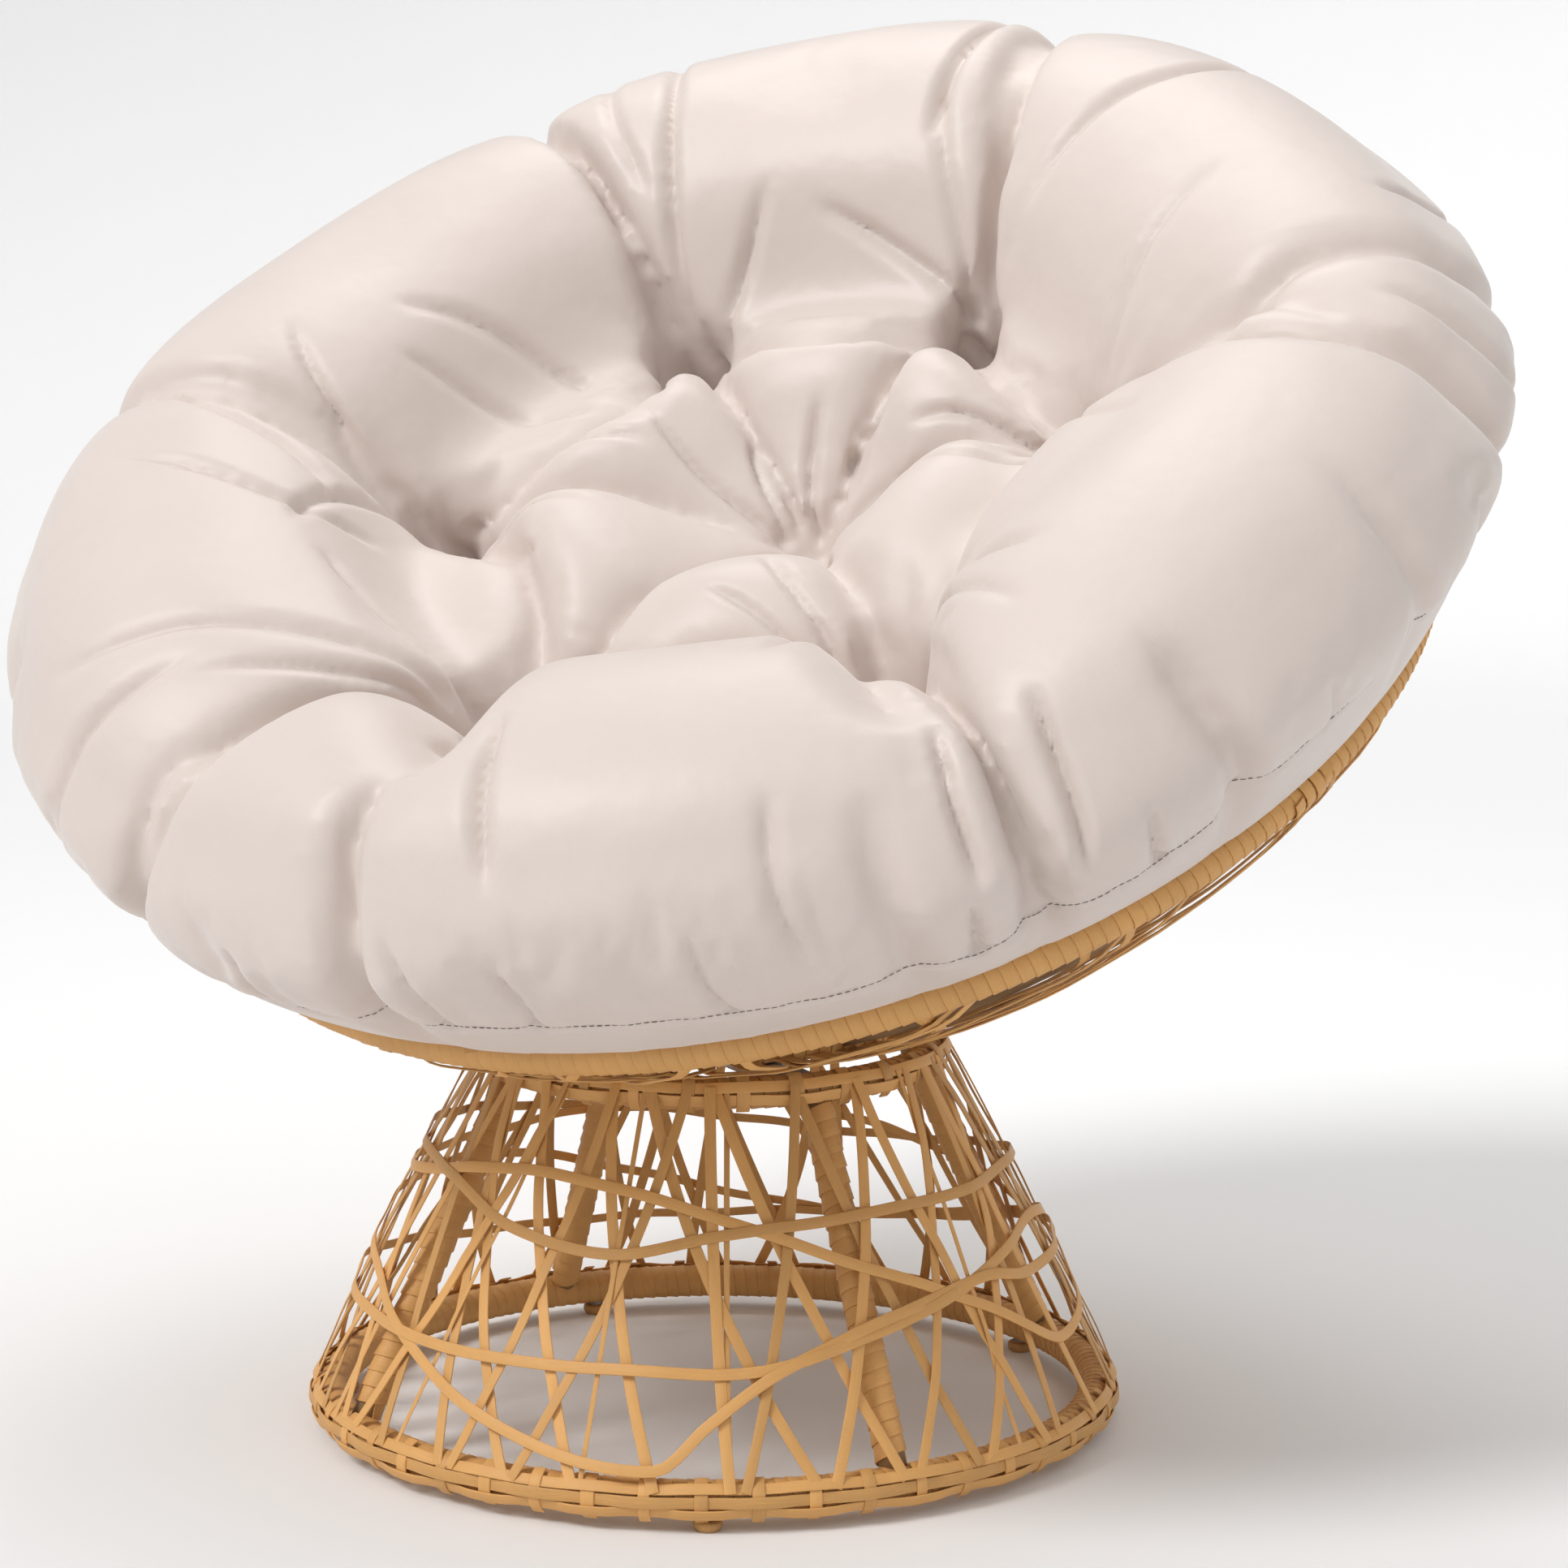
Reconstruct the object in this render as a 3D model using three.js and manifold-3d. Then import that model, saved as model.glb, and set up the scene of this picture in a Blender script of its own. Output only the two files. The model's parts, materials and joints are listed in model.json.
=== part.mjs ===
// Swivel papasan chair: a round tufted cushion in a tilted wicker bowl, on a turning plate over an open
// wicker drum. Millimetres, +Z up, the sitter faces -Y. Angles are degrees from the front towards +X.
import * as THREE from "three";
import { mergeVertices } from "three/addons/utils/BufferGeometryUtils.js";
import Module from "manifold-3d";

const wasm = await Module();
wasm.setup();

// Shared stock and clearances
const fitGap = 0.3;
const stripThickness = 1.3;
const stripWidth = 8;
const layerGap = 1.7;
const courseLap = 0.15;
const cutOverrun = 2;
const heavyTubeRadius = 11;
const slimTubeRadius = 9.5;
const rimTubeRadius = 12;
const ribRadius = 6;

// Drum: two rings, four legs and the woven strips round them
const lowerRingRadius = 279;
const lowerRingLift = 8.9;
const upperRingRadius = 157;
const upperRingHeight = 270;
const seatTurnDegrees = 30.8;
const legDegrees = [27, 117, 207, 297];
const legBow = 2.6;
const wallBulge = 3;
const backStrandPairs = 8;
const backStrandLean = 20;

// Feet under the lower ring
const glideDegrees = [0, 123, 201, 262];
const glideFaceRadius = 8;
const glideFlangeRadius = 10;
const glideFlangeHeight = 3;
const glideStemRadius = 3;
const glideStemLength = 14;
const insertRadius = 4.5;
const insertLength = 9;
const insertHeadRadius = 6;
const insertHeadHeight = 1;

// Turning plate
const hubArmWidth = 36;
const hubArmThickness = 5;
const plateSide = 150;
const plateCorner = 12;
const plateThickness = 3;
const ballRadius = 3;
const ballCircleRadius = 44;
const ballCount = 8;
const retainerWall = 5;
const retainerThickness = 2;
const rivetShankRadius = 8;
const rivetHeadRadius = 14;
const rivetHeadHeight = 3;
const boltCircleRadius = 78;
const boltShankRadius = 3;
const boltHeadRadius = 6;
const boltHeadHeight = 4;

// Bowl: tilted rim, level foot ring and the ribs between them
const rimRadius = 469;
const rimShift = 115;
const rimHeight = 556;
const rimTiltDegrees = 30.2;
const bowlCurveLift = 480;
const bowlRingRadius = 140;
const bowlRingClearance = 17;
const ribCount = 8;
const ribBow = 1.5;
const bowlStrandPairs = 12;
const bowlStrandLean = 20;

// Cushion, measured in the rim's own plane
const cushionBulgeRadius = 540;
const cushionCrown = 255;
const cushionFootRadius = 486;
const cushionSeatRadius = 452;
const cushionClearance = 0.3;
const tuftRadius = 244;
const centreTuftShift = 36;
const centreTuftDegrees = 145;
const tuftDegrees = [-78, -13, 49, 118, 162, 219];
const channelEndDegrees = [-80, -26, 47, 101, 172, 226];

const steelPaint = { color: 0x2b2622, roughness: 0.45, metalness: 0.6 };
const bareSteel = { color: 0x9a9a98, roughness: 0.35, metalness: 1 };
const wicker = { color: 0xc49a69, roughness: 0.55, metalness: 0 };
const nylon = { color: 0xb08a5c, roughness: 0.6, metalness: 0 };
const cloth = { color: 0xe0d4ca, roughness: 0.75, metalness: 0 };

// Facets
const tubeSides = 6;
const arcSegments = 2;
const retainerSides = 12;
const drumFacets = 30;
const bowlFacets = 32;
const bowlFootFacets = 16;
const legSteps = 4;
const ribSteps = 4;
const drumStrandSteps = 3;
const bowlStrandSteps = 5;
const puffDivisions = 8;
const stationSteps = 2;

const radians = THREE.MathUtils.degToRad;
const lerp = THREE.MathUtils.lerp;
const fullTurn = 2 * Math.PI;
const lowerWrapRadius = heavyTubeRadius + fitGap + stripThickness;
const upperWrapRadius = slimTubeRadius + fitGap + stripThickness;
const rimWrapRadius = rimTubeRadius + fitGap + stripThickness;
const lowerRingHeight = lowerRingLift + lowerWrapRadius;
const layerPitch = stripThickness + layerGap;

// Heights of the turning plate's stack, from the drum's arms up
const hubArmBottom = upperRingHeight - hubArmThickness / 2;
const hubArmTop = upperRingHeight + hubArmThickness / 2;
const lowerPlateBottom = hubArmTop + fitGap;
const lowerPlateTop = lowerPlateBottom + plateThickness;
const ballCentreHeight = lowerPlateTop + fitGap + ballRadius;
const upperPlateBottom = ballCentreHeight + ballRadius + fitGap;
const upperPlateTop = upperPlateBottom + plateThickness;
const seatArmBottom = upperPlateTop + fitGap;
const seatArmTop = seatArmBottom + hubArmThickness;
const bowlRingHeight = upperRingHeight + upperWrapRadius + bowlRingClearance;

// Solids and meshes

function solidOf(geometry) {
  const bare = geometry.clone();
  bare.deleteAttribute("normal");
  bare.deleteAttribute("uv");
  const merged = mergeVertices(bare);
  return new wasm.Manifold(
    new wasm.Mesh({
      numProp: 3,
      vertProperties: merged.attributes.position.array,
      triVerts: new Uint32Array(merged.index.array),
    }),
  );
}

function geometryOf(solid) {
  const mesh = solid.getMesh();
  const geometry = new THREE.BufferGeometry();
  geometry.setAttribute("position", new THREE.BufferAttribute(mesh.vertProperties, 3));
  geometry.setIndex(new THREE.BufferAttribute(mesh.triVerts, 1));
  return geometry;
}

function joined(solids) {
  return solids.reduce((sum, solid) => sum.add(solid));
}

function without(solid, cutters) {
  return cutters.reduce((left, cutter) => left.subtract(cutter), solid);
}

// The main piece that a cut leaves: what lies past a coped end is waste
function mainPiece(solid) {
  return solid.decompose().reduce((best, piece) => (piece.volume() > best.volume() ? piece : best));
}

function addMesh(group, name, solid, look) {
  const mesh = new THREE.Mesh(geometryOf(solid), new THREE.MeshStandardMaterial(look));
  mesh.name = name;
  group.add(mesh);
}

function meshFrom(points, faces) {
  const geometry = new THREE.BufferGeometry().setFromPoints(points);
  geometry.setIndex(faces);
  return solidOf(geometry);
}

// A point at a radius and height, at an angle from the front towards +X
function polar(radius, angle, height) {
  return new THREE.Vector3(radius * Math.sin(angle), -radius * Math.cos(angle), height);
}

// The same on a ring that has flat facets, so that what lies on the ring follows its facets
function facetedPolar(radius, angle, height, facets) {
  const half = Math.PI / facets;
  const inFacet = THREE.MathUtils.euclideanModulo(angle, 2 * half) - half;
  return polar((radius * Math.cos(half)) / Math.cos(inFacet), angle, height);
}

// A body turned about Z from outline points of radius and height
function turnedSolid(points, sides) {
  const profile = points.map(([radius, height]) => new THREE.Vector2(radius, height));
  return solidOf(new THREE.LatheGeometry(profile, sides).rotateX(Math.PI / 2));
}

// A level tube ring; its section has a corner straight up, where things rest on it
function ringSolid(radius, tubeRadius, height, segments) {
  const points = [];
  for (let i = 0; i <= tubeSides; i += 1) {
    const turn = fullTurn * ((i % tubeSides) / tubeSides) + Math.PI / 2;
    points.push([radius + tubeRadius * Math.cos(turn), height + tubeRadius * Math.sin(turn)]);
  }
  return turnedSolid(points, segments);
}

function columnSolid(x, y, radius, bottom, top) {
  const points = [
    [0, bottom],
    [radius, bottom],
    [radius, top],
    [0, top],
  ];
  return turnedSolid(points, tubeSides).translate(x, y, 0);
}

// A round bar along a curve
function barSolid(curve, radius, steps) {
  const section = new THREE.Shape();
  for (let i = 0; i < tubeSides; i += 1) {
    const turn = (fullTurn * i) / tubeSides;
    const corner = [radius * Math.cos(turn), radius * Math.sin(turn)];
    if (i === 0) section.moveTo(...corner);
    else section.lineTo(...corner);
  }
  return solidOf(new THREE.ExtrudeGeometry(section, { steps, extrudePath: curve, bevelEnabled: false }));
}

function extrudedSolid(shape, bottom, thickness) {
  const settings = { depth: thickness, bevelEnabled: false, curveSegments: arcSegments };
  return solidOf(new THREE.ExtrudeGeometry(shape, settings).translate(0, 0, bottom));
}

// A strip lies on a surface, which gives the point for an angle, a share of the way and an offset
function stripSections(surface, route, count, closed, inner, outer) {
  const sections = [];
  const reach = 0.5 / count;
  const last = closed ? count - 1 : count;
  for (let i = 0; i <= last; i += 1) {
    const along = i / count;
    const low = surface(...route(along), inner);
    const high = surface(...route(along), outer);
    const before = surface(...route(along - reach), inner);
    const after = surface(...route(along + reach), inner);
    const side = after.sub(before).cross(high.clone().sub(low)).setLength(stripWidth / 2);
    sections.push([
      low.clone().sub(side),
      low.clone().add(side),
      high.clone().add(side),
      high.clone().sub(side),
    ]);
  }
  return sections;
}

function stripSolid(surface, route, count, closed, inner, outer) {
  const sections = stripSections(surface, route, count, closed, inner, outer);
  const faces = [];
  const spans = closed ? sections.length : sections.length - 1;
  for (let i = 0; i < spans; i += 1) {
    const here = 4 * i;
    const next = 4 * ((i + 1) % sections.length);
    for (let k = 0; k < 4; k += 1) {
      const turn = (k + 1) % 4;
      faces.push(here + k, next + k, next + turn);
      faces.push(here + k, next + turn, here + turn);
    }
  }
  if (!closed) {
    const end = 4 * (sections.length - 1);
    faces.push(0, 1, 2, 0, 2, 3);
    faces.push(end, end + 2, end + 1, end, end + 3, end + 2);
  }
  return meshFrom(sections.flat(), faces);
}

function strandSolid(surface, [footDegrees, headDegrees], steps, layer) {
  const inner = layer * layerPitch;
  const route = (along) => [radians(lerp(footDegrees, headDegrees, along)), along];
  return stripSolid(surface, route, steps, false, inner, inner + stripThickness);
}

// A closed strip that ties the strands' ends together along a ring
function courseSolid(surface, share, segments, layer) {
  const inner = layer * layerPitch - courseLap;
  const route = (along) => [fullTurn * along, share];
  return stripSolid(surface, route, segments, true, inner, inner + stripThickness + 2 * courseLap);
}

// Share of the height of a hoop at an angle, eased between its places
function hoopShare(places, angle) {
  const knots = places.map(([degrees, share]) => [radians(degrees), share]);
  const [start, startShare] = knots[0];
  knots.push([start + fullTurn, startShare]);
  const around = start + THREE.MathUtils.euclideanModulo(angle - start, fullTurn);
  const next = knots.findIndex(([knot], i) => i > 0 && around <= knot);
  const [from, to] = [knots[next - 1], knots[next]];
  return lerp(from[1], to[1], THREE.MathUtils.smoothstep(around, from[0], to[0]));
}

// Hoops lie close over the two layers of strands, and over each other
function hoopSolid(surface, places, level) {
  const inner = layerPitch + (level + 1) * (stripThickness + fitGap);
  const route = (along) => [fullTurn * along, hoopShare(places, fullTurn * along)];
  return stripSolid(surface, route, drumFacets, true, inner, inner + stripThickness);
}

// Strands that lean to the right lie inside, the others over them
function byLean(strands) {
  const leansRight = ([foot, head]) => head > foot;
  return [strands.filter(leansRight), strands.filter((strand) => !leansRight(strand))];
}

// One layer of strands, fused to a course: the inner layer's runs at the upper end, the outer's at the foot
function strandLayer(surface, strands, steps, layer, segments) {
  const course = courseSolid(surface, 1 - layer, segments, layer);
  return joined([course, ...strands.map((strand) => strandSolid(surface, strand, steps, layer))]);
}

// The wrap of a level tube ring, with a hole wherever something passes through it
function ringWrap(radius, tubeRadius, height, segments, passing) {
  const outside = ringSolid(radius, tubeRadius + fitGap + stripThickness, height, segments);
  const inside = ringSolid(radius, tubeRadius + fitGap, height, segments);
  return without(outside, [inside, ...passing]);
}

const drum = new THREE.Group();
drum.rotation.z = radians(seatTurnDegrees);
const seat = new THREE.Group();

// Drum frame

// The drum's wall runs from ring to ring, bulging a little; offsets run outwards
const wallRise = new THREE.Vector2(upperRingRadius - lowerRingRadius, upperRingHeight - lowerRingHeight);
const wallNormal = new THREE.Vector2(wallRise.y, -wallRise.x).normalize();

function drumPoint(angle, share, offset) {
  const radius = lowerRingRadius + wallRise.x * share + wallNormal.x * offset;
  const height = lowerRingHeight + wallRise.y * share + wallNormal.y * offset;
  return facetedPolar(radius, angle, height, drumFacets);
}

function arch(share) {
  return 4 * share * (1 - share);
}

function drumSurface(angle, share, offset) {
  const skin = lerp(lowerWrapRadius, upperWrapRadius, share) + fitGap;
  return drumPoint(angle, share, skin + wallBulge * arch(share) + offset);
}

// A leg runs between the rings' middles and stops short of the strips' ends
function legBar(degrees, radius) {
  const inset = (stripWidth / 2 + layerGap) / wallRise.length();
  const points = Array.from({ length: legSteps + 1 }, (_, i) => {
    const share = i / legSteps;
    return drumPoint(radians(degrees), lerp(inset, 1 - inset, share), legBow * arch(share));
  });
  return barSolid(new THREE.CatmullRomCurve3(points), radius, legSteps);
}

function addDrumRings() {
  const lowerTube = ringSolid(lowerRingRadius, heavyTubeRadius, lowerRingHeight, drumFacets);
  addMesh(drum, "lower_ring_tube", without(lowerTube, glideHoles()), steelPaint);
  const upperTube = ringSolid(upperRingRadius, slimTubeRadius, upperRingHeight, drumFacets);
  addMesh(drum, "upper_ring_tube", upperTube, steelPaint);
  const legHoles = legDegrees.map((degrees) => legBar(degrees, slimTubeRadius + fitGap));
  const lowerPassing = [...legHoles, ...glideHoles()];
  const lowerWrap = ringWrap(
    lowerRingRadius, heavyTubeRadius, lowerRingHeight, drumFacets, lowerPassing,
  );
  addMesh(drum, "lower_ring_wrap", lowerWrap, wicker);
  const upperPassing = [...legHoles, ...armSlots(upperRingRadius, hubArmBottom, legDegrees)];
  const upperWrap = ringWrap(
    upperRingRadius, slimTubeRadius, upperRingHeight, drumFacets, upperPassing,
  );
  addMesh(drum, "upper_ring_wrap", upperWrap, wicker);
}

function addLegs() {
  const ends = (lower, upper) => [
    ringSolid(lowerRingRadius, lower + 2 * fitGap, lowerRingHeight, drumFacets),
    ringSolid(upperRingRadius, upper + 2 * fitGap, upperRingHeight, drumFacets),
  ];
  legDegrees.forEach((degrees, i) => {
    const tube = without(legBar(degrees, slimTubeRadius), ends(heavyTubeRadius, slimTubeRadius));
    addMesh(drum, `leg_tube_${i + 1}`, mainPiece(tube), steelPaint);
    const skin = without(legBar(degrees, upperWrapRadius), ends(lowerWrapRadius, upperWrapRadius));
    const bore = legBar(degrees, slimTubeRadius + fitGap);
    addMesh(drum, `leg_wrap_${i + 1}`, mainPiece(mainPiece(skin).subtract(bore)), wicker);
  });
}

// Feet

const insertTop = lowerRingLift - fitGap;
const insertBottom = insertTop - insertHeadHeight;
const glideTop = insertBottom - fitGap;
const glideStemTop = glideTop + glideStemLength;

function glideSpots() {
  return glideDegrees.map((degrees) => polar(lowerRingRadius, radians(degrees), 0));
}

// Stepped holes in the lower ring for the inserts and the ends of the feet's stems
function glideHoles() {
  return glideSpots().map(({ x, y }) => {
    const wide = columnSolid(x, y, insertRadius + fitGap, 0, insertTop + insertLength + fitGap);
    return wide.add(columnSolid(x, y, glideStemRadius + fitGap, 0, glideStemTop + fitGap));
  });
}

// A foot: nylon face and flange on a stem, standing on the floor
function glideSolid() {
  const points = [
    [0, 0],
    [glideFaceRadius, 0],
    [glideFlangeRadius, glideFlangeHeight],
    [glideFlangeRadius, glideTop],
    [glideStemRadius, glideTop],
    [glideStemRadius, glideStemTop],
    [0, glideStemTop],
  ];
  return turnedSolid(points, tubeSides);
}

// The flanged sleeve that holds a foot's stem, let into the ring from below
function insertSolid() {
  const points = [
    [0, insertBottom],
    [insertHeadRadius, insertBottom],
    [insertHeadRadius, insertTop],
    [insertRadius, insertTop],
    [insertRadius, insertTop + insertLength],
    [0, insertTop + insertLength],
  ];
  const boreTop = insertTop + insertLength + cutOverrun;
  const bore = columnSolid(0, 0, glideStemRadius + fitGap, insertBottom - cutOverrun, boreTop);
  return turnedSolid(points, tubeSides).subtract(bore);
}

function addFeet() {
  glideSpots().forEach(({ x, y }, i) => {
    addMesh(drum, `glide_${i + 1}`, glideSolid().translate(x, y, 0), nylon);
    addMesh(drum, `glide_insert_${i + 1}`, insertSolid().translate(x, y, 0), bareSteel);
  });
}

// Turning plate

const cornerDegrees = [45, 135, 225, 315];
const boltSpots = cornerDegrees.map((degrees) => polar(boltCircleRadius, radians(degrees), 0));

// Bolt holes and a centre hole through a flat piece
function drilled(solid, bottom, thickness, centreRadius) {
  const drill = (x, y, radius) => {
    const corner = (radius + fitGap) / Math.cos(Math.PI / tubeSides);
    return columnSolid(x, y, corner, bottom - cutOverrun, bottom + thickness + cutOverrun);
  };
  const holes = boltSpots.map(({ x, y }) => drill(x, y, boltShankRadius));
  return without(solid, [...holes, drill(0, 0, centreRadius)]);
}

// Clear ways through a ring's wrap for a cross of arms
function armSlots(reach, bottom, degreesList) {
  const width = hubArmWidth + 2 * fitGap;
  const height = hubArmThickness + 2 * fitGap;
  const length = reach + fitGap;
  const slot = new THREE.BoxGeometry(length, width, height);
  const solid = solidOf(slot.translate(length / 2, 0, bottom + hubArmThickness / 2));
  return degreesList.map((degrees) => solid.rotate([0, 0, degrees - 90]));
}

// A cross of four flat arms along the diagonals
function armCross(reach, bottom) {
  const half = hubArmWidth / 2;
  const corners = [];
  for (let i = 0; i < 4; i += 1) {
    const turn = (Math.PI / 2) * i;
    for (const [x, y] of [[reach, -half], [reach, half], [half, half]]) {
      corners.push(new THREE.Vector2(x, y).rotateAround(new THREE.Vector2(), turn));
    }
  }
  const flat = extrudedSolid(new THREE.Shape(corners), bottom, hubArmThickness);
  return drilled(flat.rotate([0, 0, cornerDegrees[0]]), bottom, hubArmThickness, rivetHeadRadius);
}

// A square plate with round corners, bolt holes and a hole for the rivet
function plateSolid(bottom) {
  const inner = plateSide / 2 - plateCorner;
  const shape = new THREE.Shape();
  shape.absarc(inner, inner, plateCorner, 0, Math.PI / 2);
  shape.absarc(-inner, inner, plateCorner, Math.PI / 2, Math.PI);
  shape.absarc(-inner, -inner, plateCorner, Math.PI, 1.5 * Math.PI);
  shape.absarc(inner, -inner, plateCorner, 1.5 * Math.PI, fullTurn);
  return drilled(extrudedSolid(shape, bottom, plateThickness), bottom, plateThickness, rivetShankRadius);
}

// Centre rivet with a head under the lower plate and one over the upper plate
function rivetSolid() {
  const points = [
    [0, hubArmTop - rivetHeadHeight],
    [rivetHeadRadius, hubArmTop - rivetHeadHeight],
    [rivetHeadRadius, hubArmTop],
    [rivetShankRadius, hubArmTop],
    [rivetShankRadius, seatArmBottom],
    [rivetHeadRadius, seatArmBottom],
    [rivetHeadRadius, seatArmBottom + rivetHeadHeight],
    [0, seatArmBottom + rivetHeadHeight],
  ];
  return turnedSolid(points, tubeSides);
}

// Hexagon bolt with its head below a seat, its shank up to a height
function boltSolid(seatHeight, top) {
  const points = [
    [0, seatHeight - boltHeadHeight],
    [boltHeadRadius, seatHeight - boltHeadHeight],
    [boltHeadRadius, seatHeight],
    [boltShankRadius, seatHeight],
    [boltShankRadius, top],
    [0, top],
  ];
  return turnedSolid(points, tubeSides);
}

function addLowerPlate() {
  const hubTurn = legDegrees[0] - cornerDegrees[0];
  const hub = new THREE.Group();
  hub.rotation.z = radians(hubTurn);
  drum.add(hub);
  const ring = ringSolid(upperRingRadius, slimTubeRadius + fitGap, upperRingHeight, drumFacets);
  const cross = armCross(upperRingRadius, hubArmBottom).rotate([0, 0, hubTurn]);
  addMesh(drum, "hub_cross", mainPiece(cross.subtract(ring)), steelPaint);
  addMesh(hub, "swivel_lower_plate", plateSolid(lowerPlateBottom), bareSteel);
  addMesh(hub, "swivel_rivet", rivetSolid(), bareSteel);
  boltSpots.forEach(({ x, y }, i) => {
    const bolt = boltSolid(hubArmBottom - fitGap, lowerPlateTop - fitGap);
    addMesh(hub, `lower_bolt_${i + 1}`, bolt.translate(x, y, 0), bareSteel);
  });
}

function addUpperPlate() {
  addMesh(seat, "swivel_upper_plate", plateSolid(upperPlateBottom), bareSteel);
  boltSpots.forEach(({ x, y }, i) => {
    const bolt = boltSolid(-seatArmTop - fitGap, -upperPlateBottom - fitGap).rotate([180, 0, 0]);
    addMesh(seat, `upper_bolt_${i + 1}`, bolt.translate(x, y, 0), bareSteel);
  });
}

// Flat retainer ring with the balls fixed in it
function addBallCage() {
  const bottom = ballCentreHeight - retainerThickness / 2;
  const top = bottom + retainerThickness;
  const points = [
    [ballCircleRadius - retainerWall, bottom],
    [ballCircleRadius + retainerWall, bottom],
    [ballCircleRadius + retainerWall, top],
    [ballCircleRadius - retainerWall, top],
    [ballCircleRadius - retainerWall, bottom],
  ];
  const balls = Array.from({ length: ballCount }, (_, i) => {
    const { x, y, z } = polar(ballCircleRadius, (fullTurn * i) / ballCount, ballCentreHeight);
    return solidOf(new THREE.OctahedronGeometry(ballRadius, 0).translate(x, y, z));
  });
  addMesh(seat, "ball_cage", joined([turnedSolid(points, retainerSides), ...balls]), bareSteel);
}

// Drum weave

// Strands as degrees at the lower and at the upper ring: the front ones by hand
const frontStrandDegrees = [
  [-62, -73], [-59, -33], [-50, -60], [-39, -52], [-37, -20], [-28, -55], [-27, -3], [-18, -45], [-7, -25],
  [1, -1], [7, 22], [15, -17], [18, 38], [27, -2], [30, 55], [39, 17], [42, 68], [53, 33], [67, 61], [79, 78],
];

// Even pairs of strands that cross each other, over a stretch of the wall
function crossedStrands(start, end, pairs, lean) {
  return Array.from({ length: 2 * pairs }, (_, i) => {
    const foot = lerp(start, end, (i + 1) / (2 * pairs + 1));
    return [foot, foot + (i % 2 ? lean : -lean)];
  });
}

function drumStrands() {
  const start = frontStrandDegrees[frontStrandDegrees.length - 1][0];
  const end = 360 + frontStrandDegrees[0][0];
  return [...frontStrandDegrees, ...crossedStrands(start, end, backStrandPairs, backStrandLean)];
}

// Hoops outside the strands, as degrees and shares of the height
const waistHoopShares = [
  [-58, 0.69], [-29, 0.56], [-14, 0.57], [13, 0.64], [55, 0.66], [90, 0.68], [150, 0.52], [200, 0.6], [260, 0.72],
];
const lowHoopShares = [
  [-61, 0.27], [-14, 0.29], [10, 0.29], [34, 0.4], [61, 0.49], [95, 0.5], [150, 0.24], [215, 0.2], [260, 0.3],
];
const fallingHoopShares = [
  [-83, 0.64], [-42, 0.75], [-20, 0.74], [0, 0.68], [18, 0.58], [48, 0.38], [66, 0.26], [90, 0.3],
  [130, 0.5], [180, 0.62], [235, 0.58],
];
const risingHoopShares = [
  [-40, 0.13], [-7, 0.12], [8, 0.26], [29, 0.39], [60, 0.43], [100, 0.4], [160, 0.22], [230, 0.5], [285, 0.4],
];

function addDrumWeave() {
  byLean(drumStrands()).forEach((strands, layer) => {
    const solid = strandLayer(drumSurface, strands, drumStrandSteps, layer, drumFacets);
    addMesh(drum, `drum_strands_${layer + 1}`, solid, wicker);
  });
  addMesh(drum, "drum_hoop_waist", hoopSolid(drumSurface, waistHoopShares, 0), wicker);
  addMesh(drum, "drum_hoop_low", hoopSolid(drumSurface, lowHoopShares, 0), wicker);
  addMesh(drum, "drum_hoop_falling", hoopSolid(drumSurface, fallingHoopShares, 1), wicker);
  addMesh(drum, "drum_hoop_rising", hoopSolid(drumSurface, risingHoopShares, 2), wicker);
}

// Bowl

const rimTilt = radians(rimTiltDegrees);
const rimBack = new THREE.Vector3(0, Math.cos(rimTilt), Math.sin(rimTilt));
const rimNormal = new THREE.Vector3(0, -Math.sin(rimTilt), Math.cos(rimTilt));
const rimCentre = new THREE.Vector3(0, rimShift, rimHeight);
const rimPlane = new THREE.Matrix4()
  .makeBasis(new THREE.Vector3(1, 0, 0), rimBack, rimNormal)
  .setPosition(rimCentre);
const curveCentre = rimCentre.clone().addScaledVector(rimNormal, bowlCurveLift);

function rimPoint(radius, angle, height) {
  return facetedPolar(radius, angle, height, bowlFacets).applyMatrix4(rimPlane);
}

// The bowl's wall from the foot ring, share 0, to the rim, share 1; offsets run outwards
function bowlPoint(angle, share, offset) {
  const foot = facetedPolar(bowlRingRadius, angle, bowlRingHeight, bowlFacets).sub(curveCentre);
  const head = rimPoint(rimRadius, angle, 0).sub(curveCentre);
  const reach = lerp(foot.length(), head.length(), share);
  const aim = foot.normalize().lerp(head.normalize(), share);
  return aim.setLength(reach + offset).add(curveCentre);
}

function bowlSurface(angle, share, offset) {
  return bowlPoint(angle, share, lerp(upperWrapRadius, rimWrapRadius, share) + 2 * fitGap + offset);
}

function ribBar(angle, radius) {
  const points = Array.from({ length: ribSteps + 1 }, (_, i) => {
    const share = i / ribSteps;
    return bowlPoint(angle, share, ribBow * arch(share));
  });
  return barSolid(new THREE.CatmullRomCurve3(points), radius, ribSteps);
}

function tilted(solid) {
  return solid.transform(rimPlane.toArray());
}

function ribAngles() {
  return Array.from({ length: ribCount }, (_, i) => (fullTurn * (i + 0.5)) / ribCount);
}

function addRibs() {
  const ends = [
    ringSolid(bowlRingRadius, slimTubeRadius + 2 * fitGap, bowlRingHeight, bowlFootFacets),
    tilted(ringSolid(rimRadius, rimTubeRadius + 2 * fitGap, 0, bowlFacets)),
  ];
  ribAngles().forEach((angle, i) => {
    addMesh(seat, `bowl_rib_${i + 1}`, mainPiece(without(ribBar(angle, ribRadius), ends)), steelPaint);
  });
}

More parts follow.
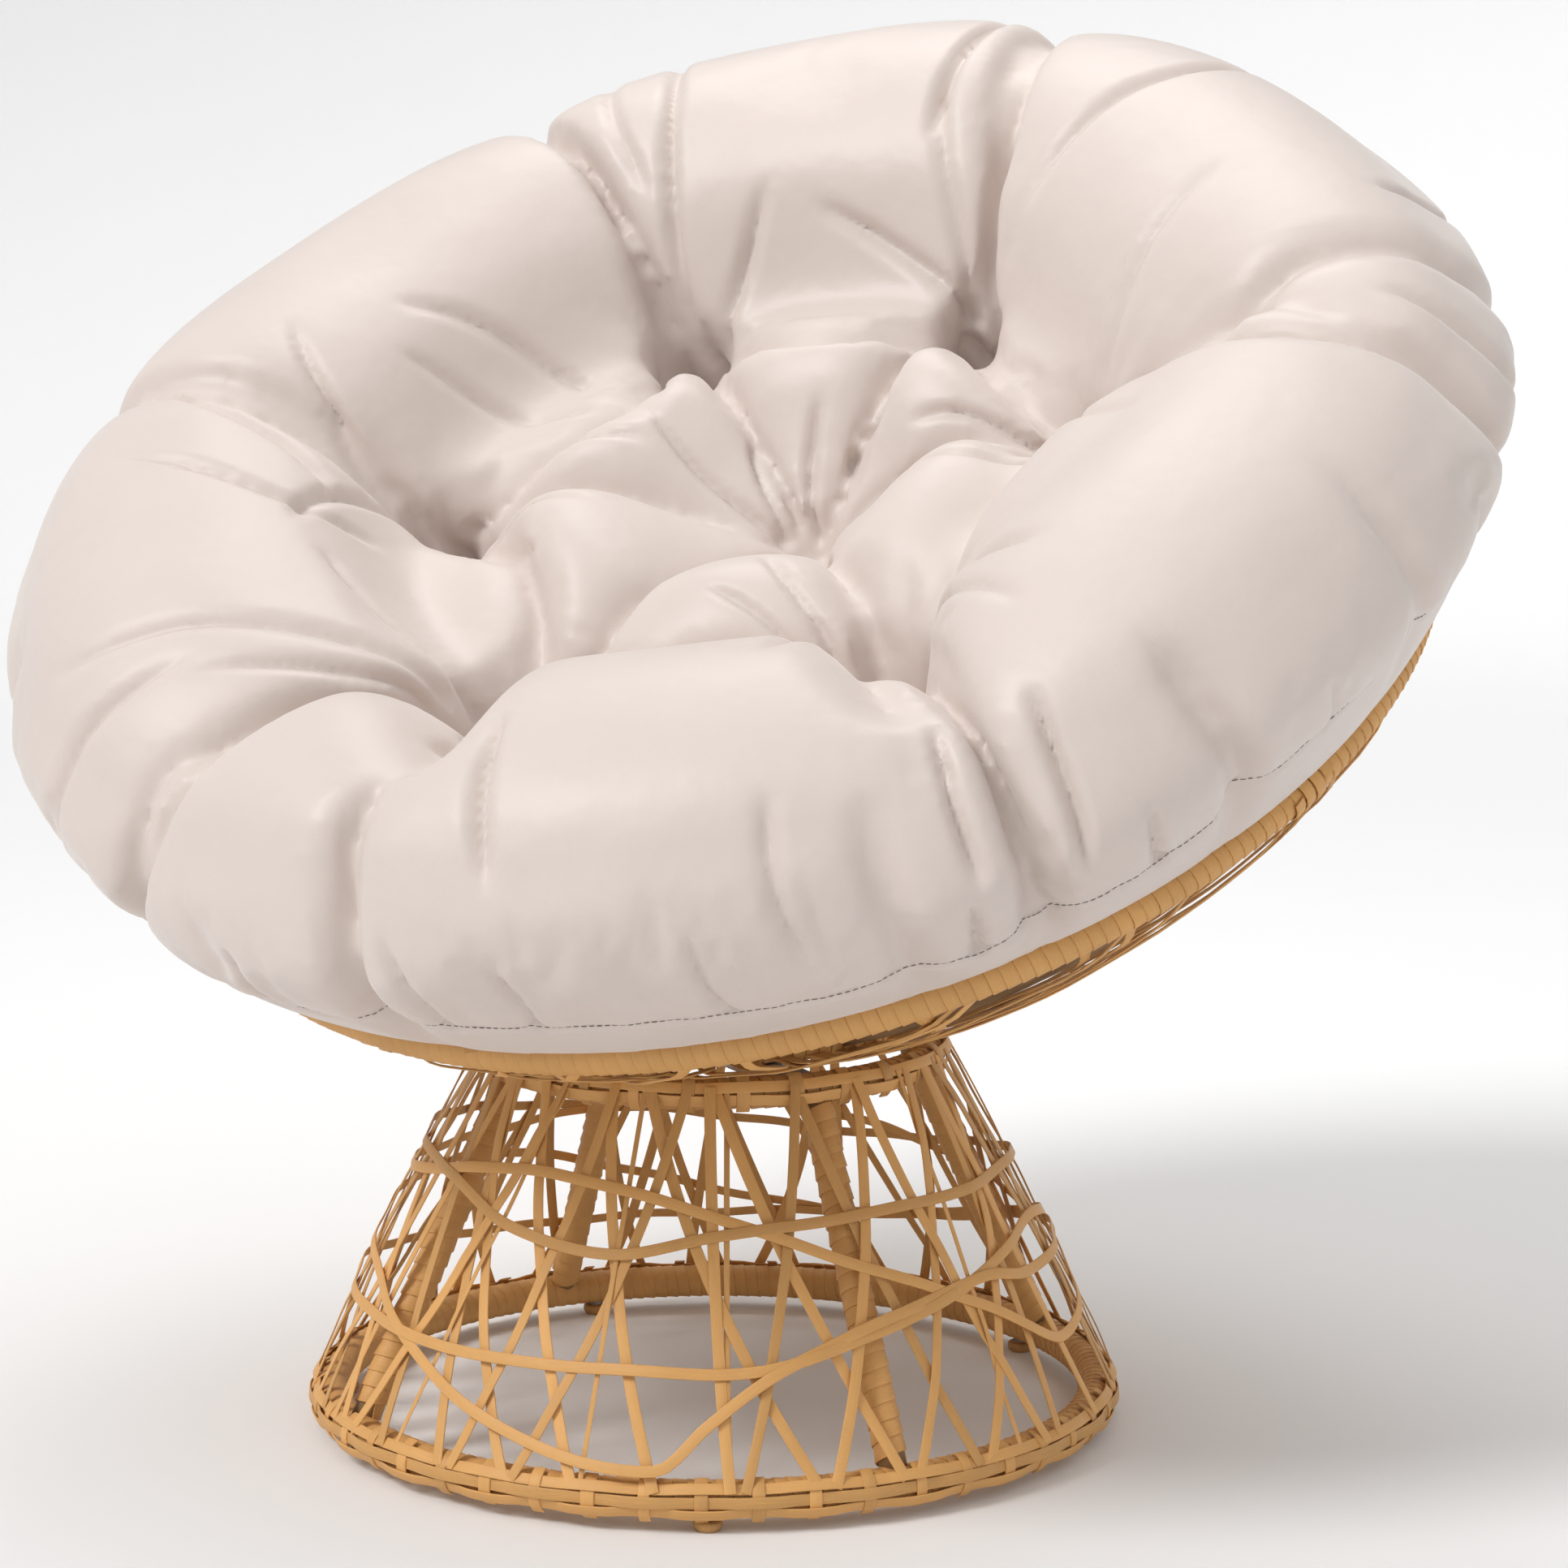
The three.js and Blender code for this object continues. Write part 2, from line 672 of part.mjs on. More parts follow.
function addBowlRings() {
  const ribHoles = ribAngles().map((angle) => ribBar(angle, ribRadius + fitGap));
  addMesh(seat, "rim_tube", tilted(ringSolid(rimRadius, rimTubeRadius, 0, bowlFacets)), steelPaint);
  const rimWrap = without(tilted(ringWrap(rimRadius, rimTubeRadius, 0, bowlFacets, [])), ribHoles);
  addMesh(seat, "rim_wrap", rimWrap, wicker);
  const ring = ringSolid(bowlRingRadius, slimTubeRadius, bowlRingHeight, bowlFootFacets);
  addMesh(seat, "bowl_ring_tube", ring, steelPaint);
  const armReach = Math.sqrt((bowlRingRadius - stripWidth / 2 - layerGap) ** 2 - (hubArmWidth / 2) ** 2);
  const ringCore = ringSolid(bowlRingRadius, slimTubeRadius + fitGap, bowlRingHeight, bowlFootFacets);
  addMesh(seat, "seat_cross", mainPiece(armCross(armReach, seatArmBottom).subtract(ringCore)), steelPaint);
  const passing = [...ribHoles, ...armSlots(armReach, seatArmBottom, cornerDegrees)];
  const wrap = ringWrap(bowlRingRadius, slimTubeRadius, bowlRingHeight, bowlFootFacets, passing);
  addMesh(seat, "bowl_ring_wrap", wrap, wicker);
}

function addBowlWeave() {
  byLean(crossedStrands(0, 360, bowlStrandPairs, bowlStrandLean)).forEach((strands, layer) => {
    const solid = strandLayer(bowlSurface, strands, bowlStrandSteps, layer, bowlFacets);
    addMesh(seat, `bowl_strands_${layer + 1}`, solid, wicker);
  });
}

// Cushion

// Outlines from the centre tuft to the seam, as shares of the bulge radius and of the crown height:
// over the middle of a puff, and along a deep and a shallow channel between two puffs
const puffShares = [
  [0, 0.19], [0.13, 0.42], [0.28, 0.65], [0.46, 0.53], [0.58, 0.87], [0.74, 1.01], [0.92, 0.91], [1, 0.57],
  [0.92, 0.25],
];
const deepChannelShares = [
  [0, 0.19], [0.15, 0.27], [0.3, 0.36], [0.46, 0.38], [0.58, 0.52], [0.72, 0.7], [0.88, 0.7], [0.96, 0.5],
  [0.915, 0.25],
];
const shallowChannelShares = [
  [0, 0.19], [0.15, 0.25], [0.3, 0.33], [0.46, 0.38], [0.58, 0.64], [0.72, 0.86], [0.88, 0.84], [0.97, 0.55],
  [0.915, 0.25],
];
const puffFullnessShare = 0.5;

// How the cushion varies on its way round, at each channel and at the middle of each puff: shares of the
// bulge radius and of the crown, and how much of the shallow channel's outline a channel has there
const roundShares = [
  [1, 1.05, 1], [1, 0.96, 0.6], [1, 0.9, 0.2], [1, 0.9, 0], [1, 0.9, 0], [1.02, 0.93, 0.3],
  [1.01, 0.93, 0.7], [0.975, 0.97, 1], [1, 1.07, 1], [1, 1.04, 1], [1, 1.07, 1], [1, 1.01, 1],
];

function outlineCurve(shares) {
  const points = shares.map(
    ([across, upShare]) => new THREE.Vector2(across * cushionBulgeRadius, upShare * cushionCrown),
  );
  return new THREE.SplineCurve(points);
}

// Places all round, with the same number of divisions in each puff: the channels on both sides, how far
// the place is from one to the other, how full the puff is there, and the shares for that place
function puffSpots() {
  const round = new THREE.CatmullRomCurve3(
    roundShares.map((shares) => new THREE.Vector3(...shares)), true, "catmullrom",
  );
  return tuftDegrees.flatMap((_, i) =>
    Array.from({ length: puffDivisions }, (__, k) => {
      const share = k / puffDivisions;
      const fullness = Math.sin(Math.PI * share) ** puffFullnessShare;
      const place = round.getPoint((i + share) / tuftDegrees.length);
      const [radiusShare, crownShare, shallowShare] = place.toArray();
      return { puff: i, share, fullness, radiusShare, crownShare, shallowShare };
    }),
  );
}

// A channel runs straight out to its tuft, then drifts to where it ends at the seam
function channelAngle(puff, radius) {
  const count = tuftDegrees.length;
  const whole = 360 * Math.floor(puff / count);
  const drift = THREE.MathUtils.clamp((radius - tuftRadius) / (cushionFootRadius - tuftRadius), 0, 1);
  return radians(whole + lerp(tuftDegrees[puff % count], channelEndDegrees[puff % count], drift));
}

function spotAngle({ puff, share }, radius) {
  return lerp(channelAngle(puff, radius), channelAngle(puff + 1, radius), share);
}

function cushionTopPoint(puffPlace, deep, shallow, spot) {
  const channel = deep.clone().lerp(shallow, THREE.MathUtils.clamp(spot.shallowShare, 0, 1));
  const place = channel.lerp(puffPlace, spot.fullness);
  const pull = Math.max(0, 1 - place.x / tuftRadius);
  const shift = polar(centreTuftShift * pull, radians(centreTuftDegrees), 0);
  const angle = spotAngle(spot, place.x);
  return polar(place.x * spot.radiusShare, angle, place.y * spot.crownShare).add(shift);
}

// Underside: a flat seat on the rim's wrap, then a cap that clears the bowl
function cushionUnderside() {
  const seatHeight = rimWrapRadius + cushionClearance;
  const footReach = polar(bowlRingRadius, 0, bowlRingHeight).sub(curveCentre).length();
  const capRadius = Math.min(footReach, Math.hypot(rimRadius, bowlCurveLift)) - upperWrapRadius - 2 * fitGap;
  const capHeight = (radius) => bowlCurveLift - Math.sqrt(capRadius ** 2 - radius ** 2);
  const capRadii = [cushionSeatRadius, (cushionSeatRadius * 2) / 3, cushionSeatRadius / 3];
  return {
    rings: [
      [cushionFootRadius, seatHeight],
      [rimRadius - rimTubeRadius, seatHeight],
      ...capRadii.map((radius) => [radius, capHeight(radius)]),
    ],
    bottom: capHeight(0),
  };
}

function cushionSolid() {
  const spots = puffSpots();
  const curves = [puffShares, deepChannelShares, shallowChannelShares].map(outlineCurve);
  const stations = (puffShares.length - 1) * stationSteps;
  const points = [];
  for (let j = 1; j <= stations; j += 1) {
    const [puff, deep, shallow] = curves.map((curve) => curve.getPoint(j / stations));
    points.push(...spots.map((spot) => cushionTopPoint(puff, deep, shallow, spot)));
  }
  const { rings, bottom } = cushionUnderside();
  for (const [radius, height] of rings) {
    points.push(...spots.map((spot) => polar(radius, spotAngle(spot, radius), height)));
  }
  const around = spots.length;
  const last = points.length - around;
  const top = points.length;
  const centreAngle = radians(centreTuftDegrees);
  const centreHeight = puffShares[0][1] * cushionCrown;
  points.push(polar(centreTuftShift, centreAngle, centreHeight), new THREE.Vector3(0, 0, bottom));
  const faces = [];
  for (let i = 0; i < around; i += 1) {
    const next = (i + 1) % around;
    faces.push(top, i, next);
    faces.push(last + i, top + 1, last + next);
    for (let row = 0; row < last; row += around) {
      faces.push(row + i, row + around + i, row + around + next);
      faces.push(row + i, row + around + next, row + next);
    }
  }
  return tilted(meshFrom(points, faces));
}

addDrumRings();
addLegs();
addFeet();
addLowerPlate();
addDrumWeave();
addBallCage();
addUpperPlate();
addBowlRings();
addRibs();
addBowlWeave();
addMesh(seat, "cushion", cushionSolid(), cloth);

const chair = new THREE.Group();
chair.add(drum, seat);
chair.updateMatrixWorld(true);
const extent = new THREE.Box3().setFromObject(chair, true);
const middle = extent.getCenter(new THREE.Vector3());
chair.position.set(-middle.x, -middle.y, -extent.min.z);

export default chair;
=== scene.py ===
import json
import math

import bmesh
import bpy
import numpy as np
from bpy.props import FloatProperty, FloatVectorProperty, IntProperty, PointerProperty
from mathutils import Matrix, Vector
from mathutils.bvhtree import BVHTree


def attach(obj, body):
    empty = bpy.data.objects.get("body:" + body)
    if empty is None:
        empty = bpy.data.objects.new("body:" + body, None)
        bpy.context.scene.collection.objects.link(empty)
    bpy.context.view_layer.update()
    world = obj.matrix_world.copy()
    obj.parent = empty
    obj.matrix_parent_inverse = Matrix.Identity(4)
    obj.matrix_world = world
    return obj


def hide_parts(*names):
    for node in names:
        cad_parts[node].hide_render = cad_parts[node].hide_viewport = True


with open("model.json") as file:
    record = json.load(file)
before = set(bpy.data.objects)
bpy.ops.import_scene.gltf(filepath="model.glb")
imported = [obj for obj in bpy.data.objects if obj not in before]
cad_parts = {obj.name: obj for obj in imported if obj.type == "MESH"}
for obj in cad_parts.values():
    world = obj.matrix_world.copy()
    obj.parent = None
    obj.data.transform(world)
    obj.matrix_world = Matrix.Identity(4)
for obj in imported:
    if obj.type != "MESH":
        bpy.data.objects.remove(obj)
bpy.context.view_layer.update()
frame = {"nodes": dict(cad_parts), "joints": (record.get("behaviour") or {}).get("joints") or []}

bl_info = {
    "name": "Swivel papasan chair",
    "version": (1, 0, 0),
    "blender": (4, 5, 0),
    "location": "View3D > Sidebar > Papasan",
    "description": "Dresses a swivel papasan chair: woven drum, wound bowl and tufted pad",
    "category": "Add Mesh",
}

MM = 0.001
FULL_TURN = 2 * math.pi

# Where the frame puts the turning axis, and how the drum stands turned under the seat
SWIVEL = Vector(next(j["pos_m"] for j in frame["joints"] if j["name"] == "seat_turn"))
AXIS_X, AXIS_Y = SWIVEL.x, SWIVEL.y
DRUM_TURN = math.radians(30.8)

# The frame's own sizes, in metres, that the dressing follows
STRIP_WIDTH = 8 * MM
STRIP_THICKNESS = 1.3 * MM
FIT_GAP = 0.3 * MM
HEAVY_TUBE = 11 * MM
SLIM_TUBE = 9.5 * MM
RIM_TUBE = 12 * MM
RIB_TUBE = 6 * MM
LOWER_RING = 279 * MM
LOWER_RING_HEIGHT = 21.5 * MM
UPPER_RING = 157 * MM
UPPER_RING_HEIGHT = 270 * MM
WALL_BULGE = 3 * MM
LEG_SHARES = (0.03, 0.97)
LEG_WRAP_SHARES = (0.06, 0.94)
LEG_DEGREES = (27, 117, 207, 297)
GLIDE_DEGREES = (0, 123, 201, 262)
RIM_RADIUS = 469 * MM
RIM_SHIFT = 115 * MM
RIM_HEIGHT = 556 * MM
RIM_TILT = math.radians(30.2)
BOWL_CURVE_LIFT = 480 * MM
BOWL_RING = 140 * MM
BOWL_RING_HEIGHT = 298.1 * MM
RIB_COUNT = 8
RIB_SHARES = (0.03, 0.98)
# Each ring's name and body, its radius and height, and its tube's radius
RINGS = (
    ("lower_ring", "base", LOWER_RING, LOWER_RING_HEIGHT, HEAVY_TUBE),
    ("upper_ring", "base", UPPER_RING, UPPER_RING_HEIGHT, SLIM_TUBE),
    ("bowl_ring", "seat", BOWL_RING, BOWL_RING_HEIGHT, SLIM_TUBE),
)

RIM_BACK = Vector((0, math.cos(RIM_TILT), math.sin(RIM_TILT)))
RIM_NORMAL = Vector((0, -math.sin(RIM_TILT), math.cos(RIM_TILT)))
RIM_CENTRE = Vector((AXIS_X, AXIS_Y + RIM_SHIFT, RIM_HEIGHT))
RIM_AXES = np.array([(1, 0, 0), tuple(RIM_BACK), tuple(RIM_NORMAL)])
CURVE_CENTRE = RIM_CENTRE + RIM_NORMAL * BOWL_CURVE_LIFT


class ChairSizes(bpy.types.PropertyGroup):
    strip_width: FloatProperty(name="Strip width", description="Width of the flat resin strip",
                               default=STRIP_WIDTH, unit="LENGTH")
    strip_thickness: FloatProperty(name="Strip thickness", description="Thickness of the flat resin strip",
                                   default=STRIP_THICKNESS, unit="LENGTH")
    wrap_pitch: FloatProperty(name="Wrap pitch", description="From one turn of a winding to the next",
                              default=9.6 * MM, unit="LENGTH")
    stake_pitch: FloatProperty(name="Stake pitch", description="Between the loops that the courses cross",
                               default=38 * MM, unit="LENGTH")
    back_strands: IntProperty(name="Back strands", description="Strands over the drum's back", default=34)
    bowl_strands: IntProperty(name="Bowl strands", description="Strands woven under the bowl", default=72)


class PadSizes(bpy.types.PropertyGroup):
    bulge_radius: FloatProperty(name="Bulge radius", description="Widest radius of the pad",
                                default=540 * MM, unit="LENGTH")
    crown: FloatProperty(name="Crown", description="Height of the puffs over the rim",
                         default=255 * MM, unit="LENGTH")
    voxel: FloatProperty(name="Cloth mesh", description="Size of the cloth's faces while it settles",
                         default=6.8 * MM, unit="LENGTH")
    pressure: FloatProperty(name="Pressure", description="Pressure of the filling while the cloth settles",
                            default=4.0)
    settle_frames: IntProperty(name="Settle frames", description="Steps that the cloth settles in", default=20)
    most_move: FloatProperty(name="Most move", description="How far a point of the cloth may move",
                             default=9 * MM, unit="LENGTH")
    stitch_pitch: FloatProperty(name="Stitch pitch", description="From one stitch of the seam to the next",
                                default=5.2 * MM, unit="LENGTH")
    stitch_length: FloatProperty(name="Stitch length", description="Length of one stitch of the seam",
                                 default=4.2 * MM, unit="LENGTH")
    thread: FloatProperty(name="Thread", description="Thickness of the seam's thread",
                          default=0.8 * MM, unit="LENGTH")


class ChairColours(bpy.types.PropertyGroup):
    wicker: FloatVectorProperty(name="Wicker", description="Colour of the resin strip", subtype="COLOR",
                                default=(0.66, 0.355, 0.118))
    cloth: FloatVectorProperty(name="Cloth", description="Colour of the pad's cloth", subtype="COLOR",
                               default=(0.68, 0.59, 0.54))
    steel: FloatVectorProperty(name="Painted steel", description="Colour of the tubes' paint",
                               subtype="COLOR", default=(0.30, 0.185, 0.09))
    floor: FloatVectorProperty(name="Floor", description="Colour of the floor", subtype="COLOR",
                               default=(0.88, 0.88, 0.88))


# Shader building: a socket that can be used in sums, and a maker of nodes

class Value:
    """A shader socket or number that Python's operators can work with."""

    def __init__(self, shader, socket):
        self.shader = shader
        self.socket = socket

    def _math(self, operation, *others):
        return self.shader.node("ShaderNodeMath", {"operation": operation}, [self, *others])

    def __add__(self, other):
        return self._math("ADD", other)

    __radd__ = __add__

    def __mul__(self, other):
        return self._math("MULTIPLY", other)

    __rmul__ = __mul__

    def __pow__(self, other):
        return self._math("POWER", other)

    def sine(self):
        return self._math("SINE")


class Shader:
    """A material and one method that makes its nodes."""

    def __init__(self, name):
        self.material = bpy.data.materials.new(name)
        self.material.use_nodes = True
        self.nodes = self.material.node_tree.nodes
        self.links = self.material.node_tree.links
        self.bsdf = self.nodes["Principled BSDF"]

    def node(self, kind, settings=(), inputs=(), output=0):
        made = self.nodes.new(kind)
        for key, value in dict(settings).items():
            setattr(made, key, value)
        named = inputs.items() if isinstance(inputs, dict) else enumerate(inputs)
        for key, value in named:
            self.feed(made.inputs[key], value)
        return Value(self, made.outputs[output])

    def feed(self, socket, value):
        if isinstance(value, Value):
            self.links.new(value.socket, socket)
        else:
            socket.default_value = value

    def set(self, **values):
        """Sets the main shader's sockets; a name's words are joined by underscores."""
        for key, value in values.items():
            self.feed(self.bsdf.inputs[key.replace("_", " ")], value)

    def place(self):
        """Where a point lies on the piece, in metres."""
        return self.node("ShaderNodeTexCoord", output="Object")

    def stretched(self, scale):
        return self.node("ShaderNodeMapping", {}, {"Vector": self.place(), "Scale": scale})

    def noise(self, vector, scale, detail=2.0):
        return self.node("ShaderNodeTexNoise", {}, {"Vector": vector, "Scale": scale, "Detail": detail})

    def mixed(self, factor, first, second):
        mix = self.nodes.new("ShaderNodeMix")
        mix.data_type = "RGBA"
        for index, value in ((0, factor), (6, first), (7, second)):
            self.feed(mix.inputs[index], value)
        return Value(self, mix.outputs[2])

    def bump(self, height, strength, distance):
        settings = {"Height": height, "Strength": strength, "Distance": distance}
        self.set(Normal=self.node("ShaderNodeBump", {}, settings))


STRIP_RIB_PITCH = 1.1 * MM
DARK_ZINC = (0.33, 0.32, 0.29, 1)
LIGHT_ZINC = (0.55, 0.54, 0.50, 1)


def shade(colour, factor):
    """A colour made darker or lighter by a factor."""
    return (*(channel * factor for channel in colour), 1.0)


def wicker_material(colours):
    """Flat resin strip: fine ribs along it, a soft sheen, each strip a little lighter or darker."""
    shader = Shader("resin_wicker")
    strip = shader.node("ShaderNodeAttribute", {"attribute_name": "strip"}, output="Vector")
    parts = shader.nodes.new("ShaderNodeSeparateXYZ")
    shader.feed(parts.inputs[0], strip)
    along, across, tone = (Value(shader, parts.outputs[k]) for k in range(3))
    ribs = (across * (FULL_TURN / STRIP_RIB_PITCH)).sine()
    grain_place = shader.node("ShaderNodeCombineXYZ", {}, [along * 60.0, across * 1500.0, tone * 37.0])
    grain = shader.noise(grain_place, 1.0, 3.0)
    cloudy = shader.noise(shader.place(), 45.0, 3.0)
    light = tone * 0.55 + cloudy * 0.25 + grain * 0.2
    colour = shader.mixed(light, shade(colours.wicker, 0.72), shade(colours.wicker, 1.22))
    scuffed = shader.mixed(grain ** 6.0, colour, shade(colours.wicker, 1.5))
    shader.set(Base_Color=scuffed, Roughness=0.44 + grain * 0.2, Specular_IOR_Level=0.4)
    shader.bump(ribs * 0.5 + grain * 0.8, 0.25, 0.25 * MM)
    return shader.material


def cloth_material(colours):
    """Close-woven polyester with a satin face: twill lines, a faint nap and soft mottling."""
    shader = Shader("cushion_fabric")
    place = shader.place()
    mottle = shader.noise(place, 9.0, 4.0)
    nap = shader.noise(place, 900.0, 2.0)
    slub = shader.noise(shader.stretched((1400.0, 160.0, 1400.0)), 1.0, 2.0)
    dents = shader.noise(place, 13.0, 3.0)
    colour = shader.mixed(mottle * 0.6 + nap * 0.4, shade(colours.cloth, 0.93), shade(colours.cloth, 1.06))
    shader.set(Base_Color=colour, Roughness=0.38 + mottle * 0.18, Specular_IOR_Level=0.55,
               Sheen_Weight=0.3, Sheen_Roughness=0.4)
    shader.bump(dents * 6.0 + slub * 0.12 + nap * 0.12, 0.5, 1 * MM)
    return shader.material


def stitch_material(colours):
    """Thread of the seams, darker than the cloth."""
    shader = Shader("seam_thread")
    twist = shader.noise(shader.place(), 2500.0, 1.0)
    colour = shader.mixed(twist, shade(colours.cloth, 0.25), shade(colours.cloth, 0.4))
    shader.set(Base_Color=colour, Roughness=0.7)
    return shader.material


def paint_material(colours):
    """Powder coat on the tubes and arms, in the strip's own brown."""
    shader = Shader("painted_steel")
    speckle = shader.noise(shader.place(), 900.0, 2.0)
    wear = shader.noise(shader.place(), 30.0, 5.0)
    colour = shader.mixed(wear, shade(colours.steel, 0.8), shade(colours.steel, 1.25))
    shader.set(Base_Color=colour, Roughness=0.4 + wear * 0.2, Metallic=0.1)
    shader.bump(speckle, 0.25, 0.1 * MM)
    return shader.material


def plated_material():
    """Zinc plated plate, rivet, bolts and balls."""
    shader = Shader("plated_steel")
    brushed = shader.noise(shader.stretched((60.0, 1800.0, 60.0)), 1.0, 2.0)
    cloud = shader.noise(shader.place(), 70.0, 4.0)
    colour = shader.mixed(cloud, DARK_ZINC, LIGHT_ZINC)
    shader.set(Base_Color=colour, Roughness=0.3 + brushed * 0.2, Metallic=1.0)
    shader.bump(brushed, 0.12, 0.05 * MM)
    return shader.material


def nylon_material(colours):
    """Moulded nylon of the feet, scuffed at the floor."""
    shader = Shader("glide_nylon")
    mottle = shader.noise(shader.place(), 260.0, 4.0)
    colour = shader.mixed(mottle, shade(colours.wicker, 0.62), shade(colours.wicker, 0.86))
    shader.set(Base_Color=colour, Roughness=0.45 + mottle * 0.2)
    shader.bump(mottle, 0.2, 0.15 * MM)
    return shader.material


def floor_material(colours):
    """Matt paint of the studio floor."""
    shader = Shader("floor_paint")
    mottle = shader.noise(shader.place(), 3.0, 2.0)
    colour = shader.mixed(mottle, shade(colours.floor, 0.985), shade(colours.floor, 1.0))
    shader.set(Base_Color=colour, Roughness=0.85)
    return shader.material


# Places on the frame

def polar(radius, angle, height):
    """A point round the turning axis, at an angle from the front towards +X."""
    return Vector((AXIS_X + radius * math.sin(angle), AXIS_Y - radius * math.cos(angle), height))


def rim_point(radius, angle, height):
    """A point in the rim's own plane, at an angle from the front towards +X."""
    across = Vector((radius * math.sin(angle), 0, 0))
    return RIM_CENTRE + across - RIM_BACK * (radius * math.cos(angle)) + RIM_NORMAL * height


def arch(share):
    """A rise from 0 to 1 and back over a length."""
    return 4 * share * (1 - share)


def spread(start, end, steps):
    """Even steps from a start to an end, both included."""
    return [start + (end - start) * i / steps for i in range(steps + 1)]


WALL_RISE = Vector((UPPER_RING - LOWER_RING, UPPER_RING_HEIGHT - LOWER_RING_HEIGHT))
WALL_NORMAL = Vector((WALL_RISE.y, -WALL_RISE.x)).normalized()


def drum_wall(angle, share, offset):
    """A point on the drum's wall, offset outwards from the line between the rings' middles."""
    radius = LOWER_RING + WALL_RISE.x * share + WALL_NORMAL.x * offset
    height = LOWER_RING_HEIGHT + WALL_RISE.y * share + WALL_NORMAL.y * offset
    return polar(radius, angle + DRUM_TURN, height)


def wrap_radius(tube):
    """The outside radius of a strip's turns round a tube."""
    return tube + FIT_GAP + STRIP_THICKNESS


def drum_skin(angle, share, offset):
    """A point on the outside of the woven wall."""
    skin = wrap_radius(HEAVY_TUBE) + (SLIM_TUBE - HEAVY_TUBE) * share + FIT_GAP
    return drum_wall(angle, share, skin + WALL_BULGE * arch(share) + offset)


def bowl_wall(angle, share, offset):
    """A point on the bowl from its foot ring to the rim, offset outwards."""
    foot = polar(BOWL_RING, angle, BOWL_RING_HEIGHT) - CURVE_CENTRE
    head = rim_point(RIM_RADIUS, angle, 0) - CURVE_CENTRE
    reach = foot.length + (head.length - foot.length) * share
    aim = foot.normalized().lerp(head.normalized(), share)
    return CURVE_CENTRE + aim.normalized() * (reach + offset)


def bowl_skin(angle, share, offset):
    """A point on the outside of the bowl's ribs and rim."""
    skin = wrap_radius(SLIM_TUBE) + (RIM_TUBE - SLIM_TUBE) * share + 2 * FIT_GAP
    return bowl_wall(angle, share, skin + offset)


# Meshes

def linked(name, mesh):
    """A new object for a mesh, in the scene."""
    made = bpy.data.objects.new(name, mesh)
    bpy.context.scene.collection.objects.link(made)
    return made


def mesh_object(name, points, faces, material):
    """A smooth object of points and faces."""
    mesh = bpy.data.meshes.new(name)
    mesh.from_pydata([tuple(p) for p in points], [], faces)
    mesh.shade_smooth()
    mesh.materials.append(material)
    return linked(name, mesh)


def rows_to_faces(rows, width, closed_rows=False):
    """Quads of a grid of rows of points, each row closed on itself."""
    faces = []
    for i in range(rows if closed_rows else rows - 1):
        for k in range(width):
            here, beside = i * width + k, i * width + (k + 1) % width
            after = ((i + 1) % rows) * width
            faces.append((here, beside, after + (k + 1) % width, after + k))
    return faces


def tube_object(name, path, radius, material, closed, sides):
    """A round tube along points, with flat ends where it is open."""
    points, count = [], len(path)
    side = None
    for i, place in enumerate(path):
        before = path[i - 1] if closed or i else path[0]
        after = path[(i + 1) % count] if closed or i + 1 < count else path[-1]
        tangent = (after - before).normalized()
        if side is None:
            side = tangent.orthogonal().normalized()
        side = (side - tangent * side.dot(tangent)).normalized()
        other = tangent.cross(side)
        for k in range(sides):
            turn = FULL_TURN * k / sides
            points.append(place + (side * math.cos(turn) + other * math.sin(turn)) * radius)
    faces = rows_to_faces(count, sides, closed_rows=closed)
    if not closed:
        faces.append(tuple(reversed(range(sides))))
        faces.append(tuple(range((count - 1) * sides, count * sides)))
    made = mesh_object(name, points, faces, material)
    turn_outwards(made)
    return made


def turn_outwards(made):
    """Makes every face of a closed mesh look outwards."""
    shape = bmesh.new()
    shape.from_mesh(made.data)
    bmesh.ops.recalc_face_normals(shape, faces=shape.faces)
    shape.to_mesh(made.data)
    shape.free()


# Geometry Nodes

